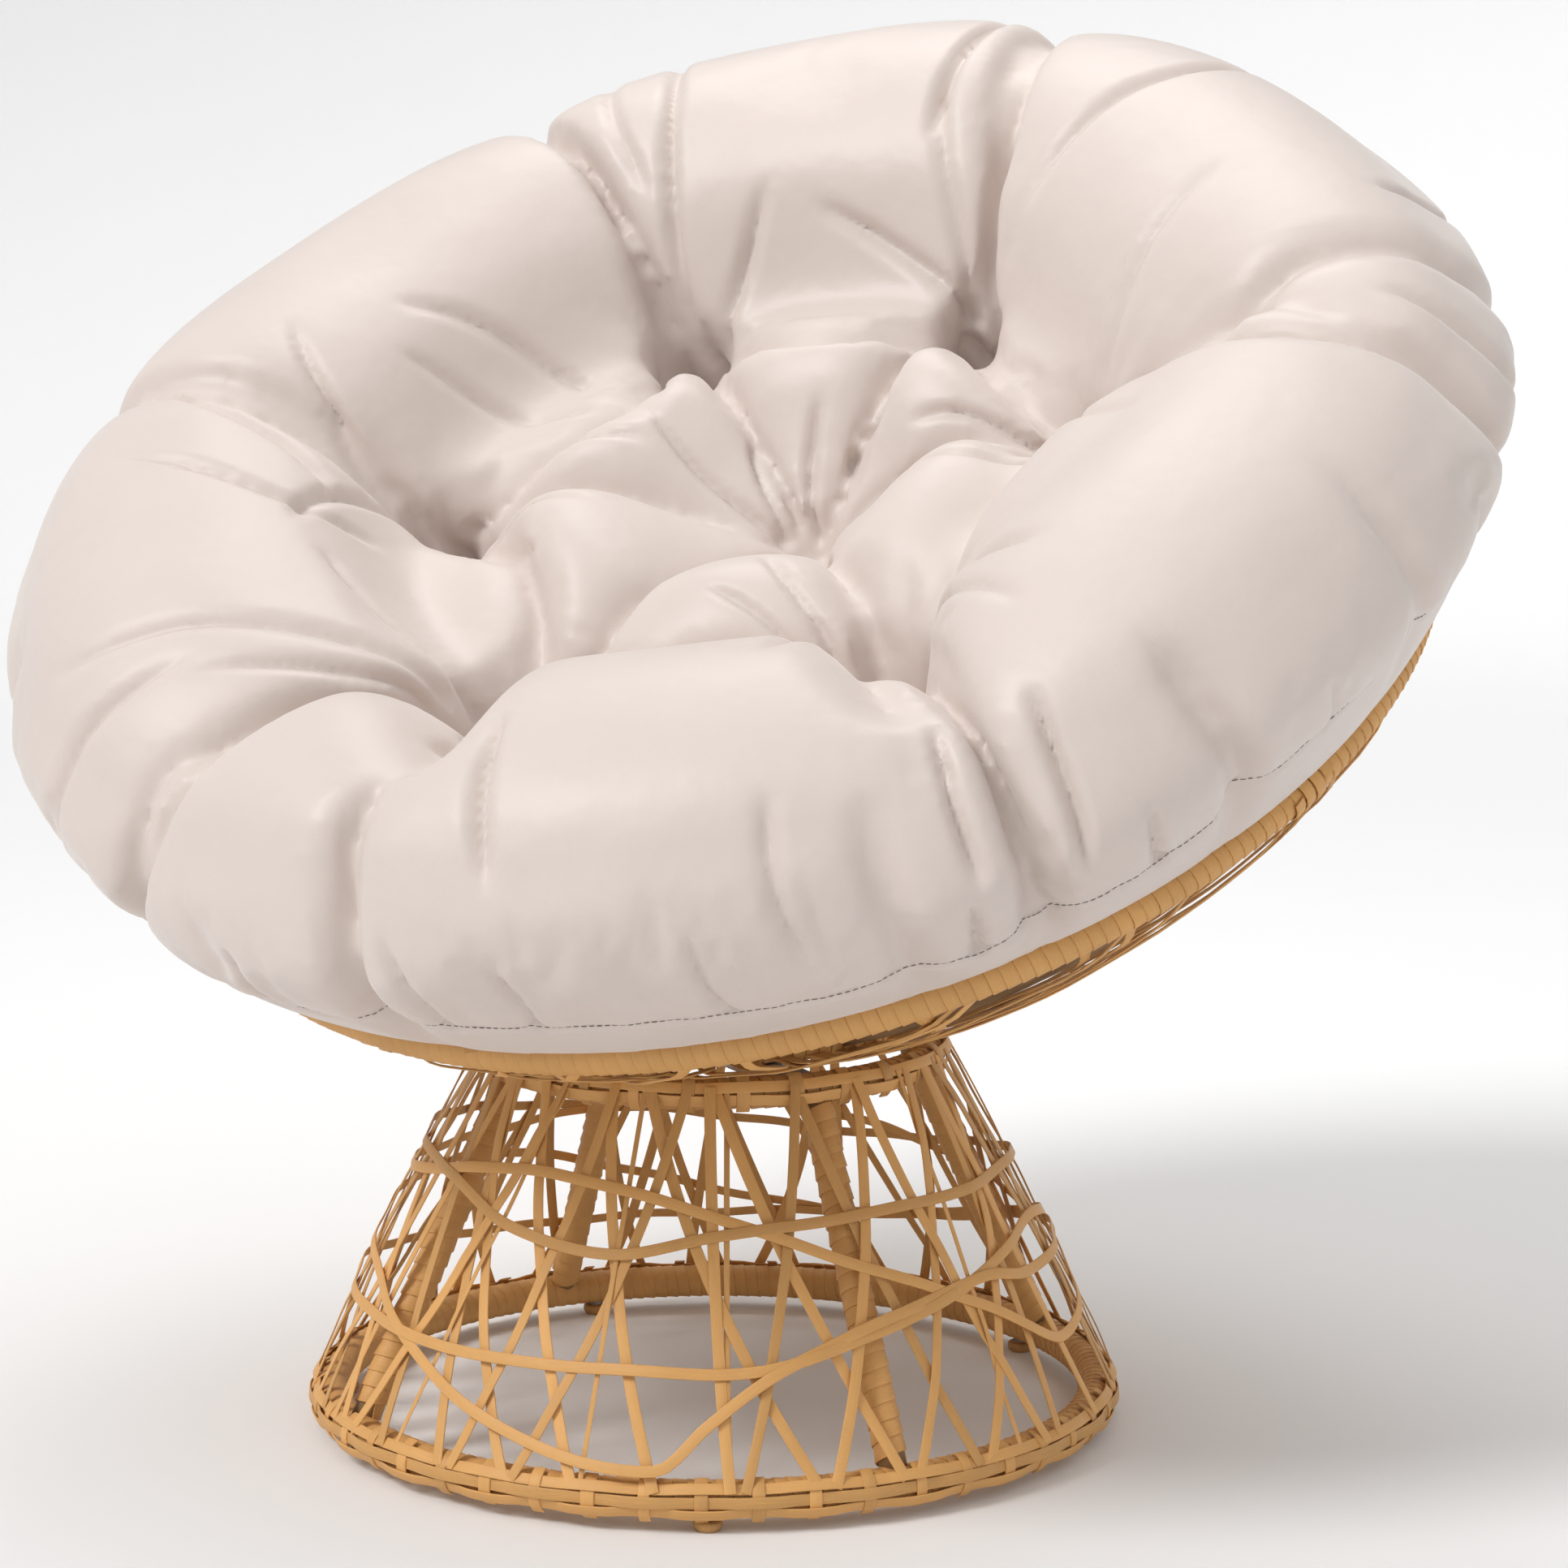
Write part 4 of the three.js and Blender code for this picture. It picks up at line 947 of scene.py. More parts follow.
# These are pressed after it
FINE_FOLDS = [
    # Upper left puff
    ([(.38, -78), (.44, -80), (.50, -84), (.58, -92)], 14, 15),
    ([(.46, -66), (.52, -72), (.60, -76), (.72, -82)], 10, 13),
    ([(.42, -60), (.50, -58), (.58, -62), (.68, -67)], 9, 13),
    ([(.42, -74), (.50, -76), (.62, -80)], 6, 14),
    ([(.30, 250), (.38, 254), (.48, 262)], 8, 13),
    ([(.37, 240), (.44, 246), (.52, 256)], 9, 14),
    # Upper puff
    ([(.40, 218), (.50, 214), (.62, 211), (.76, 210)], 14, 14),
    ([(.52, 217), (.62, 218), (.74, 217)], 9, 13),
    ([(.36, 214), (.42, 206), (.48, 200)], 10, 14),
    ([(.38, 162), (.42, 178), (.46, 192)], 12, 15),
    ([(.38, 163), (.48, 172), (.60, 178)], 8, 15),
    ([(.52, 176), (.62, 177), (.76, 178)], 14, 13),
    ([(.26, 172), (.24, 184), (.25, 196)], 10, 11),
    # Upper right puff
    ([(.48, 155), (.58, 153), (.70, 151), (.84, 150)], 9, 15),
    ([(.40, 122), (.50, 128), (.62, 132)], 6, 16),
    ([(.72, 107), (.82, 107), (.94, 108)], 9, 14),
    ([(.74, 124), (.84, 127), (.94, 129)], 9, 14),
    # Right puff
    ([(.38, 112), (.44, 96), (.52, 88)], 8, 15),
    ([(.38, 51), (.48, 58), (.60, 62)], 10, 15),
    ([(.40, 50), (.54, 54), (.66, 56)], 6, 14),
    ([(.74, 52), (.82, 51), (.92, 50)], 14, 12),
    ([(.72, 44), (.80, 43), (.88, 43)], 12, 12),
    # Front puff
    ([(.64, 9), (.72, 10), (.80, 11)], 14, 14),
    ([(.76, 31), (.84, 30), (.92, 31)], 8, 14),
    ([(.40, 46), (.48, 38), (.58, 33)], 9, 16),
    ([(.40, -10), (.50, -6), (.60, -3)], 10, 14),
    ([(.84, 3), (.92, 4), (1.0, 4)], 9, 12),
    ([(.88, 10), (.94, 11), (1.0, 11)], 9, 11),
    ([(.86, 24), (.94, 24), (1.0, 25)], 8, 10),
    ([(.90, 42), (.95, 42), (1.0, 42)], 9, 10),
    ([(.88, 55), (.94, 55), (1.0, 56)], 8, 10),
    ([(.88, 70), (.94, 71), (1.0, 71)], 6, 10),
    ([(.88, 92), (.94, 92), (1.0, 93)], 9, 11),
    ([(.88, -12), (.94, -12), (1.0, -12)], 8, 11),
    # Left puff
    ([(.42, -19), (.52, -27), (.64, -36), (.76, -42)], 9, 18),
    ([(.42, -16), (.54, -22), (.66, -30)], 9, 14),
    ([(.38, -20), (.44, -34), (.48, -48)], 8, 16),
    ([(.40, -76), (.46, -66), (.50, -54)], 9, 15),
    ([(.74, -20), (.84, -22), (.94, -24)], 12, 13),
    ([(.66, -32), (.78, -35), (.92, -36)], 10, 16),
    # Inner puffs
    ([(.05, -95), (.12, -100), (.22, -110)], 10, 11),
    ([(.05, -110), (.11, -128), (.17, -140)], 8, 10),
    ([(.04, -168), (.10, -170), (.17, -176)], 10, 10),
    ([(.08, 160), (.14, 164), (.22, 152)], 14, 11),
    ([(.36, 116), (.28, 122), (.20, 130)], 9, 10),
    ([(.36, 112), (.28, 108), (.20, 108)], 10, 11),
    ([(.36, 106), (.28, 96), (.18, 92)], 8, 11),
    ([(.36, 45), (.28, 36), (.22, 28)], 10, 11),
    ([(.36, 41), (.30, 28), (.27, 16)], 8, 10),
    ([(.36, -76), (.28, -66), (.22, -58)], 10, 11),
    ([(.36, -74), (.31, -58), (.28, -46)], 8, 10),
    ([(.36, -82), (.28, -92), (.20, -98)], 9, 11),
    ([(.36, 222), (.30, 232), (.24, 240)], 10, 12),
]


def spline(places, spots, closed=False):
    """A uniform Catmull-Rom curve through places, at spots from 0 to 1; a closed one ends where it starts."""
    places = np.array(places, float)
    along = np.asarray(spots) * (len(places) if closed else len(places) - 1)
    start = np.floor(along).astype(int)
    t = (along - start)[:, None]
    p0, p1, p2, p3 = (places.take(start + k, 0, mode="wrap" if closed else "clip") for k in (-1, 0, 1, 2))
    a, b = (p2 - p0) / 2, (p3 - p1) / 2
    return (2 * p1 - 2 * p2 + a + b) * t ** 3 + (3 * p2 - 3 * p1 - 2 * a - b) * t ** 2 + a * t + p1


def channel_angle(channel, radius):
    """Degrees of a channel at a radius: straight out to its tuft, then drifting to its end at the seam."""
    drift = np.clip((radius - TUFT_RADIUS) / (BOXING_FOOT[0] - TUFT_RADIUS), 0, 1)
    turns, number = np.divmod(channel, len(TUFT_DEGREES))
    start, end = np.array(TUFT_DEGREES)[number], np.array(CHANNEL_END_DEGREES)[number]
    return 360 * turns + start + (end - start) * drift


def pad_grid():
    """Points of the pad's top in the rim's plane, as rows out from the centre, and their degrees."""
    pad = bpy.context.scene.pad_sizes
    share = np.linspace(0, 1, TOP_ROWS + 1)[1:]
    size = np.array([pad.bulge_radius, pad.crown])
    puff, deep, shallow = (spline(table, share) * size
                           for table in (PUFF_SHARES, DEEP_CHANNEL_SHARES, SHALLOW_CHANNEL_SHARES))
    column = np.arange(AROUND)
    number, part = column // PUFF_COLUMNS, (column % PUFF_COLUMNS) / PUFF_COLUMNS
    full = (np.sin(np.pi * part) ** PUFF_FULLNESS)[:, None]
    around = (number + part) / len(TUFT_DEGREES)
    wide, tall, shallowness, flare = spline(ROUND_SHARES, around, closed=True).T
    seam_level = spline(np.array(SEAM_HEIGHTS)[:, None] * MM, around, closed=True)[:, 0]
    shallowness = np.clip(shallowness, 0, 1)[:, None]
    channel = deep[:, None] + (shallow - deep)[:, None] * shallowness
    place = channel + (puff[:, None] - channel) * full
    low, high = channel_angle(number, place[..., 0]), channel_angle(number + 1, place[..., 0])
    degrees = low + (high - low) * part
    angle = np.radians(degrees)
    skirt = np.clip((share - SKIRT_SHARE) / (1 - SKIRT_SHARE), 0, 1)[:, None]
    radius, height = place[..., 0] * wide * (1 + (flare - 1) * skirt), place[..., 1] * tall
    height = height + (seam_level - height[-1:]) * skirt ** 2
    pull = np.clip(1 - place[..., 0] / TUFT_RADIUS, 0, 1) * CENTRE_SHIFT
    centre = math.radians(CENTRE_DEGREES)
    across = radius * np.sin(angle) + pull * math.sin(centre)
    back = -radius * np.cos(angle) - pull * math.cos(centre)
    return np.stack([across, back, height], -1), degrees


def in_frame(flat):
    """Points across, back and up in the rim's plane, as places in the frame."""
    return flat @ RIM_AXES + np.array(RIM_CENTRE)


def in_rim_plane(places):
    """Places in the frame, as points across, back and up in the rim's plane."""
    return (places - np.array(RIM_CENTRE)) @ RIM_AXES.T


def grid_normals(grid):
    """Unit normals of a grid that closes round its second index."""
    down = np.gradient(grid, axis=0)
    around = np.roll(grid, -1, 1) - np.roll(grid, 1, 1)
    normal = np.cross(down, around)
    return normal / np.maximum(np.linalg.norm(normal, axis=2, keepdims=True), 1e-9)


def grid_place(grid, degrees, share, at):
    """The point of the pad's top at a share of the way out and an angle."""
    row = min(TOP_ROWS - 1.001, max(0, share * TOP_ROWS - 1))
    found = []
    for number in (int(row), int(row) + 1):
        turned = (degrees[number] - at + 180) % 360 - 180
        column = int(np.abs(turned).argmin())
        beside = (column - int(np.sign(turned[column]))) % AROUND
        gap = turned[column] - turned[beside]
        part = turned[column] / gap if abs(gap) > 1e-9 else 0.0
        found.append(grid[number, column] * (1 - part) + grid[number, beside] * part)
    return found[0] + (found[1] - found[0]) * (row - int(row))


# A fold keeps its depth at an end that runs out of the centre, a tuft or the seam, by the end's share.
# Elsewhere it fades over a share of its length, down to a share of its depth.
CENTRE_END_SHARE = 0.06
TUFT_END_SHARES = (0.35, 0.39)
SEAM_END_SHARE = 0.98
FADE_SHARE = 0.4
FADE_LEAST = 0.1
FOLD_STEPS = 27


def stays_deep(share):
    at_tuft = TUFT_END_SHARES[0] < share < TUFT_END_SHARES[1]
    return at_tuft or share <= CENTRE_END_SHARE or share >= SEAM_END_SHARE


def fold_lines(grid, degrees, folds):
    """Each fold's line over the pad's top as points, its depth and reach, and whether each end stays deep."""
    lines = []
    for route, depth, reach in folds:
        spots = spline(route, spread(0, 1, FOLD_STEPS))
        line = np.array([grid_place(grid, degrees, share, at) for share, at in spots])
        lines.append((line, depth * MM, reach * MM, stays_deep(route[0][0]), stays_deep(route[-1][0])))
    return lines


def nearest_on_line(points, line):
    """How far each point is from a line, and how far along it is the nearest place, from 0 to 1."""
    away = np.full(len(points), np.inf)
    along = np.zeros(len(points))
    for i, (start, end) in enumerate(zip(line, line[1:])):
        step = end - start
        part = np.clip((points - start) @ step / max(step @ step, 1e-12), 0, 1)
        gap = np.linalg.norm(points - start - part[:, None] * step, axis=1)
        along = np.where(gap < away, (i + part) / (len(line) - 1), along)
        away = np.minimum(away, gap)
    return away, along


def faded(share):
    return np.sin(np.pi / 2 * np.clip(FADE_LEAST + share / FADE_SHARE, 0, 1))


def fold_depth(points, lines):
    """How far each point is pulled in by folds: a sharp valley between two soft swellings."""
    total = np.zeros(len(points))
    for line, depth, reach, deep_start, deep_end in lines:
        inside = (points > line.min(0) - reach) & (points < line.max(0) + reach)
        near = np.nonzero(inside.all(1))[0]
        away, along = nearest_on_line(points[near], line)
        taper = (1 if deep_start else faded(along)) * (1 if deep_end else faded(1 - along))
        share = np.clip(away / reach, 0, 1)
        total[near] += depth * taper * ((1 - share) ** 2 if depth > 0 else np.cos(np.pi / 2 * share) ** 2)
    return total


# Each tuft's dimple, and the gathers that run out of it, as counts round it with their shares
DIMPLE_DEPTH = 20 * MM
DIMPLE_REACH = 34 * MM
GATHER_DEPTH = 2.2 * MM
GATHER_REACH = 22 * MM
HELD_RADIUS = 13 * MM


def tuft_places():
    """Each tuft's place across and back in the rim's plane."""
    spots = [(TUFT_RADIUS, d) for d in TUFT_DEGREES] + [(CENTRE_SHIFT, CENTRE_DEGREES)]
    return [(r * math.sin(math.radians(d)), -r * math.cos(math.radians(d))) for r, d in spots]


def tuft_pull(points):
    """A tight dimple at each tuft, with short gathers that run out of it."""
    total = np.zeros(len(points))
    for k, middle in enumerate(tuft_places()):
        away = points[:, :2] - np.array(middle)
        distance = np.linalg.norm(away, axis=1)
        around = np.arctan2(away[:, 1], away[:, 0])
        gathers = np.cos(9 * around + 1.7 * k) + 0.6 * np.cos(14 * around + 0.9 * k)
        total += DIMPLE_DEPTH * np.clip(1 - distance / DIMPLE_REACH, 0, 1) ** 2
        total += GATHER_DEPTH * gathers * np.exp(-((distance - DIMPLE_REACH) / GATHER_REACH) ** 2)
    return total


def level_ring(angle, radius, height):
    """Points at a radius and a height in the rim's plane, one for each angle."""
    return np.stack([radius * np.sin(angle), -radius * np.cos(angle), np.full(angle.shape, height)], -1)


def pad_rows():
    """All rows of the pad, top, boxing and underside, in the rim's plane."""
    grid, degrees = pad_grid()
    flat = grid.reshape(-1, 3)
    pulled = fold_depth(flat, fold_lines(grid, degrees, DEEP_FOLDS)) + tuft_pull(flat)
    grid = grid - grid_normals(grid) * pulled.reshape(grid.shape[:2])[..., None]
    angle = np.radians(degrees[-1])
    seam, foot = grid[-1], level_ring(angle, *BOXING_FOOT)
    rows = [*grid]
    for along in spread(0, 1, BOXING_ROWS)[1:]:
        rows.append(seam + (foot - seam) * along + level_ring(angle, BOXING_SWELL * arch(along), 0))
    rows.append(level_ring(angle, *SEAT_INNER))
    for share in spread(1, 0, UNDER_ROWS)[:-1]:
        radius = CAP_EDGE * share
        drop = math.sqrt(CAP_RADIUS ** 2 - radius ** 2)
        rows.append(level_ring(angle, radius, BOWL_CURVE_LIFT - drop))
    return np.array(rows), grid, degrees


def pad_mesh(name, material, rows):
    """The pad as a closed mesh of even faces."""
    count = rows.shape[0]
    points = in_frame(rows.reshape(-1, 3))
    top = points[:AROUND].mean(0)
    bottom = in_frame(np.array([[0, 0, BOWL_CURVE_LIFT - CAP_RADIUS]]))[0]
    faces = rows_to_faces(count, AROUND)
    top_index, bottom_index = len(points), len(points) + 1
    last = (count - 1) * AROUND
    for k in range(AROUND):
        after = (k + 1) % AROUND
        faces.append((top_index, after, k))
        faces.append((bottom_index, last + k, last + after))
    made = mesh_object(name, np.vstack([points, top, bottom]), faces, material)
    turn_outwards(made)
    remesh = made.modifiers.new("even", "REMESH")
    remesh.mode = "VOXEL"
    remesh.voxel_size = bpy.context.scene.pad_sizes.voxel
    remesh.use_smooth_shade = True
    keep_result(made)
    return made


def keep_result(made):
    """Makes what an object's modifiers give its own mesh, and removes them."""
    evaluated = made.evaluated_get(bpy.context.evaluated_depsgraph_get())
    mesh = bpy.data.meshes.new_from_object(evaluated)
    made.modifiers.clear()
    old = made.data
    made.data = mesh
    bpy.data.meshes.remove(old)
    mesh.name = made.name


def vectors(items, key="vector"):
    """The vectors that a mesh's items hold, one in each row."""
    found = np.empty(len(items) * 3, np.float32)
    items.foreach_get(key, found)
    return found.reshape(-1, 3).astype(float)


def seam_height(grid, points):
    """The seam's height over the rim beside each point."""
    seam = grid[-1]
    angle = np.degrees(np.arctan2(seam[:, 0], -seam[:, 1])) % 360
    order = angle.argsort()
    at = np.degrees(np.arctan2(points[:, 0], -points[:, 1])) % 360
    return np.interp(at, angle[order], seam[order, 2], period=360)


def group_points(made, name, chosen):
    """A vertex group of the points that are chosen."""
    group = made.vertex_groups.new(name=name)
    group.add([int(i) for i in np.nonzero(chosen)[0]], 1.0, "REPLACE")


# The cloth: soft enough to swell, a little larger than its form, and held below the seam
CLOTH = {
    "quality": 4, "mass": 0.3, "tension_stiffness": 12, "compression_stiffness": 12, "shear_stiffness": 6,
    "bending_stiffness": 0.3, "shrink_min": -0.04, "use_pressure": True, "vertex_group_mass": "held",
}
HELD_OVER_SEAM = 3 * MM
DISH_MARGIN = 30 * MM
DISH_FLOOR = 12 * MM


def settle_cloth(made, grid):
    """Lets the pad's cloth settle under the filling's pressure, with the underside and the tufts held."""
    pad = bpy.context.scene.pad_sizes
    start = vectors(made.data.vertices, "co")
    points = in_rim_plane(start)
    under = points[:, 2] < seam_height(grid, points) + HELD_OVER_SEAM
    tufts = np.zeros(len(points), bool)
    for middle in tuft_places():
        tufts |= np.linalg.norm(points[:, :2] - np.array(middle), axis=1) < HELD_RADIUS
    dish = np.linalg.norm(points[:, :2], axis=1) < BOXING_FOOT[0] - DISH_MARGIN
    above = ~dish | (points[:, 2] > DISH_FLOOR)
    group_points(made, "held", under & ~(dish & above) | tufts & above)
    settings = made.modifiers.new("cloth", "CLOTH").settings
    for key, value in CLOTH.items():
        setattr(settings, key, value)
    settings.uniform_pressure_force = pad.pressure
    settings.effector_weights.gravity = 0
    scene = bpy.context.scene
    for step in range(1, pad.settle_frames + 1):
        scene.frame_set(step)
    moved = vectors(made.evaluated_get(bpy.context.evaluated_depsgraph_get()).data.vertices, "co")
    made.modifiers.clear()
    shift = moved - start
    length = np.linalg.norm(shift, axis=1, keepdims=True)
    shift *= np.minimum(1, pad.most_move / np.maximum(length, 1e-9))
    made.data.vertices.foreach_set("co", (start + shift).ravel())
    made.data.update()
    scene.frame_set(1)


def smoothed(made, times, group=""):
    """Takes the steps of the even mesh out of the cloth."""
    modifier = made.modifiers.new("smooth", "SMOOTH")
    modifier.factor = 0.5
    modifier.iterations = times
    modifier.vertex_group = group
    keep_result(made)


def finer(made):
    """One level of subdivision, applied."""
    modifier = made.modifiers.new("finer", "SUBSURF")
    modifier.levels = modifier.render_levels = 1
    keep_result(made)


SEAM_GROOVE_DEPTH = 3 * MM
SEAM_GROOVE_REACH = 6 * MM


def press_folds(made, lines, grid):
    """Presses the fine folds and the seam's groove into the settled cloth, where they lay at rest."""
    mesh = made.data
    points = in_rim_plane(vectors(mesh.attributes["rest"].data))
    depth = fold_depth(points, lines)
    over_seam = np.abs(points[:, 2] - seam_height(grid, points))
    outer = np.linalg.norm(points[:, :2], axis=1) > CAP_EDGE
    groove = SEAM_GROOVE_DEPTH * np.clip(1 - over_seam / SEAM_GROOVE_REACH, 0, 1) ** 2
    depth += np.where(outer, groove, 0)
    places = vectors(mesh.vertices, "co") - vectors(mesh.vertex_normals) * depth[:, None]
    mesh.vertices.foreach_set("co", places.ravel())
    mesh.attributes.remove(mesh.attributes["rest"])
    mesh.update()


STITCH_RISE = 0.35 * MM


def seam_path(made, grid):
    """Points along the seam on the finished cloth, just proud of it."""
    surface = BVHTree.FromObject(made, bpy.context.evaluated_depsgraph_get())
    path = []
    for place in in_frame(grid[-1]):
        found, normal, _, _ = surface.find_nearest(Vector(place))
        path.append(found + normal * STITCH_RISE)
    return path


def stitch_tree():
    """Short stitches at an even pitch along a path."""
    tree = Nodes("seam_stitches", [("Pitch", "NodeSocketFloat"), ("Length", "NodeSocketFloat"),
                                   ("Thickness", "NodeSocketFloat"), ("Material", "NodeSocketMaterial")])
    ports = tree.input.outputs
    path = tree.add("GeometryNodeMeshToCurve", Mesh=ports["Geometry"]).outputs[0]
    dots = tree.add("GeometryNodeResampleCurve", {"mode": "LENGTH"}, Curve=path,
                    Length=ports["Pitch"]).outputs[0]
    tangent = tree.add("GeometryNodeInputTangent").outputs[0]
    turned = tree.add("FunctionNodeAlignRotationToVector", {"axis": "Z"}, Vector=tangent).outputs[0]
    thread = tree.add("GeometryNodeMeshUVSphere", Segments=6, Rings=5, Radius=0.5).outputs[0]
    size = tree.add("ShaderNodeCombineXYZ", _0=ports["Thickness"], _1=ports["Thickness"], _2=ports["Length"])
    laid = tree.add("GeometryNodeInstanceOnPoints", Points=dots, Instance=thread, Rotation=turned,
                    Scale=size.outputs[0]).outputs[0]
    tree.end(laid)
    return tree


# Operators

# The floor is level inside a round cove that rises into the backdrop, in metres
COVE_RADIUS = 7.0
COVE_BEND = 2.0
COVE_SIDES = 96
COVE_STEPS = 12
CAMERA_AZIMUTH = math.radians(30.8)
CAMERA_ELEVATION = math.radians(7.77)
CAMERA_DISTANCE = 2.834
CAMERA_LENS_MM = 90.29
SENSOR_MM = 36
CAMERA_TARGET = Vector((AXIS_X + 0.0436, AXIS_Y + 0.0260, 0.4633))
# The sky's strength as the camera sees it is more than the light that it gives
SKY_LIGHT = 0.46
SKY_SEEN = 0.97
# Each lamp's name, kind, place, size or angle, and strength
LAMPS = (
    ("overhead", "AREA", (-0.6, 0.9, 2.9), 1.4, 20),
    ("key", "SUN", (-1.1, -2.2, 3.1), 0.35, 1.75),
    ("softener", "SUN", (1.2, -0.6, 3.0), 1.2, 0.4),
)
LAMP_AIM = Vector((0, 0, 0.6))


class Maker:
    bl_options = {"REGISTER", "UNDO"}


class CHAIR_OT_stage(Maker, bpy.types.Operator):
    """Makes the floor, the light and the camera"""
    bl_idname = "chair.stage"
    bl_label = "Stage"

    def execute(self, context):
        outline = [(COVE_RADIUS - COVE_BEND, 0)]
        for turn in spread(0, FULL_TURN / 4, COVE_STEPS)[1:]:
            outline.append((COVE_RADIUS - COVE_BEND * (1 - math.sin(turn)), COVE_BEND * (1 - math.cos(turn))))
        points = [Vector((radius * math.cos(FULL_TURN * k / COVE_SIDES),
                          radius * math.sin(FULL_TURN * k / COVE_SIDES), height))
                  for radius, height in outline for k in range(COVE_SIDES)]
        faces = [tuple(reversed(face)) for face in rows_to_faces(len(outline), COVE_SIDES)]
        faces.append(tuple(range(COVE_SIDES)))
        floor = mesh_object("floor", points, faces, LOOKS["floor"])
        self.add_camera(context.scene)
        self.add_sky(context.scene)
        for lamp in LAMPS:
            self.add_lamp(context.scene, *lamp)
        return {"FINISHED"}

    def add_camera(self, scene):
        back = Vector((math.sin(CAMERA_AZIMUTH) * math.cos(CAMERA_ELEVATION),
                       -math.cos(CAMERA_AZIMUTH) * math.cos(CAMERA_ELEVATION), math.sin(CAMERA_ELEVATION)))
        data = bpy.data.cameras.new("camera")
        data.lens = CAMERA_LENS_MM
        data.sensor_width = SENSOR_MM
        camera = bpy.data.objects.new("camera", data)
        camera.location = CAMERA_TARGET + back * CAMERA_DISTANCE
        camera.rotation_euler = back.to_track_quat("Z", "Y").to_euler()
        scene.collection.objects.link(camera)
        scene.camera = camera

    def add_sky(self, scene):
        scene.view_settings.view_transform = "Standard"
        scene.world = bpy.data.worlds.new("studio")
        scene.world.use_nodes = True
        tree = scene.world.node_tree
        background = tree.nodes["Background"]
        background.inputs["Color"].default_value = (1, 1, 1, 1)
        path = tree.nodes.new("ShaderNodeLightPath")
        strength = tree.nodes.new("ShaderNodeMapRange")
        strength.inputs["To Min"].default_value = SKY_LIGHT
        strength.inputs["To Max"].default_value = SKY_SEEN
        tree.links.new(path.outputs["Is Camera Ray"], strength.inputs["Value"])
        tree.links.new(strength.outputs[0], background.inputs["Strength"])

    def add_lamp(self, scene, name, kind, place, size, strength):
        data = bpy.data.lights.new(name, kind)
        setattr(data, "size" if kind == "AREA" else "angle", size)
        data.energy = strength
        lamp = bpy.data.objects.new(name, data)
        lamp.location = place
        lamp.rotation_euler = (Vector(place) - LAMP_AIM).to_track_quat("Z", "Y").to_euler()
        scene.collection.objects.link(lamp)


class CHAIR_OT_tubes(Maker, bpy.types.Operator):
    """Makes the painted steel tubes of the drum and the bowl"""
    bl_idname = "chair.tubes"
    bl_label = "Steel tubes"

    def execute(self, context):
        for name, body, radius, height, tube in RINGS:
            self.add(f"{name}_steel", ring_path(radius, height, 96), tube, body, f"{name}_tube", closed=True)
        self.add("rim_steel", rim_path(160), RIM_TUBE, "seat", "rim_tube", closed=True)
        for k, degrees in enumerate(LEG_DEGREES):
            path = leg_path(degrees, *LEG_SHARES, 12)
            self.add(f"leg_steel_{k + 1}", path, SLIM_TUBE, "base", f"leg_tube_{k + 1}")
        for k in range(RIB_COUNT):
            angle = FULL_TURN * (k + 0.5) / RIB_COUNT
            path = [bowl_wall(angle, share, 0) for share in spread(*RIB_SHARES, 16)]
            self.add(f"rib_steel_{k + 1}", path, RIB_TUBE, "seat", f"bowl_rib_{k + 1}", sides=12)
        return {"FINISHED"}

    def add(self, name, path, tube, body, node, closed=False, sides=16):
        made = tube_object(name, path, tube, LOOKS["painted_steel"], closed, sides)
        settle(made, body, "painted_steel", node)


class CHAIR_OT_windings(Maker, bpy.types.Operator):
    """Winds the strip round the rings, the legs and the rim"""
    bl_idname = "chair.windings"
    bl_label = "Windings"

    def execute(self, context):
        for i, (name, body, radius, height, tube) in enumerate(RINGS):
            made = winding(f"{name}_winding", ring_path(radius, height, 120), tube, True, RING_SEED + i)
            settle(made, body, "resin_wicker", f"{name}_wrap")
        made = winding("rim_winding", rim_path(240), RIM_TUBE, True, RIM_SEED, RIM_PITCH_SHARE)
        settle(made, "seat", "resin_wicker", "rim_wrap")
        # A second strip holds the first one's ends
        for k, (start, end) in enumerate(RIM_BINDINGS):
            path = [rim_point(RIM_RADIUS, math.radians(degrees), 0) for degrees in spread(start, end, 12)]
            made = winding(f"rim_binding_{k + 1}", path, RIM_TUBE + BINDING_LIFT, False, BINDING_SEED + k)
            settle(made, "seat", "resin_wicker")
        for k, degrees in enumerate(LEG_DEGREES):
            path = leg_path(degrees, *LEG_WRAP_SHARES, 24)
            made = winding(f"leg_winding_{k + 1}", path, SLIM_TUBE, False, LEG_SEED + k, LEG_PITCH_SHARE)
            settle(made, "base", "resin_wicker", f"leg_wrap_{k + 1}")
        return {"FINISHED"}


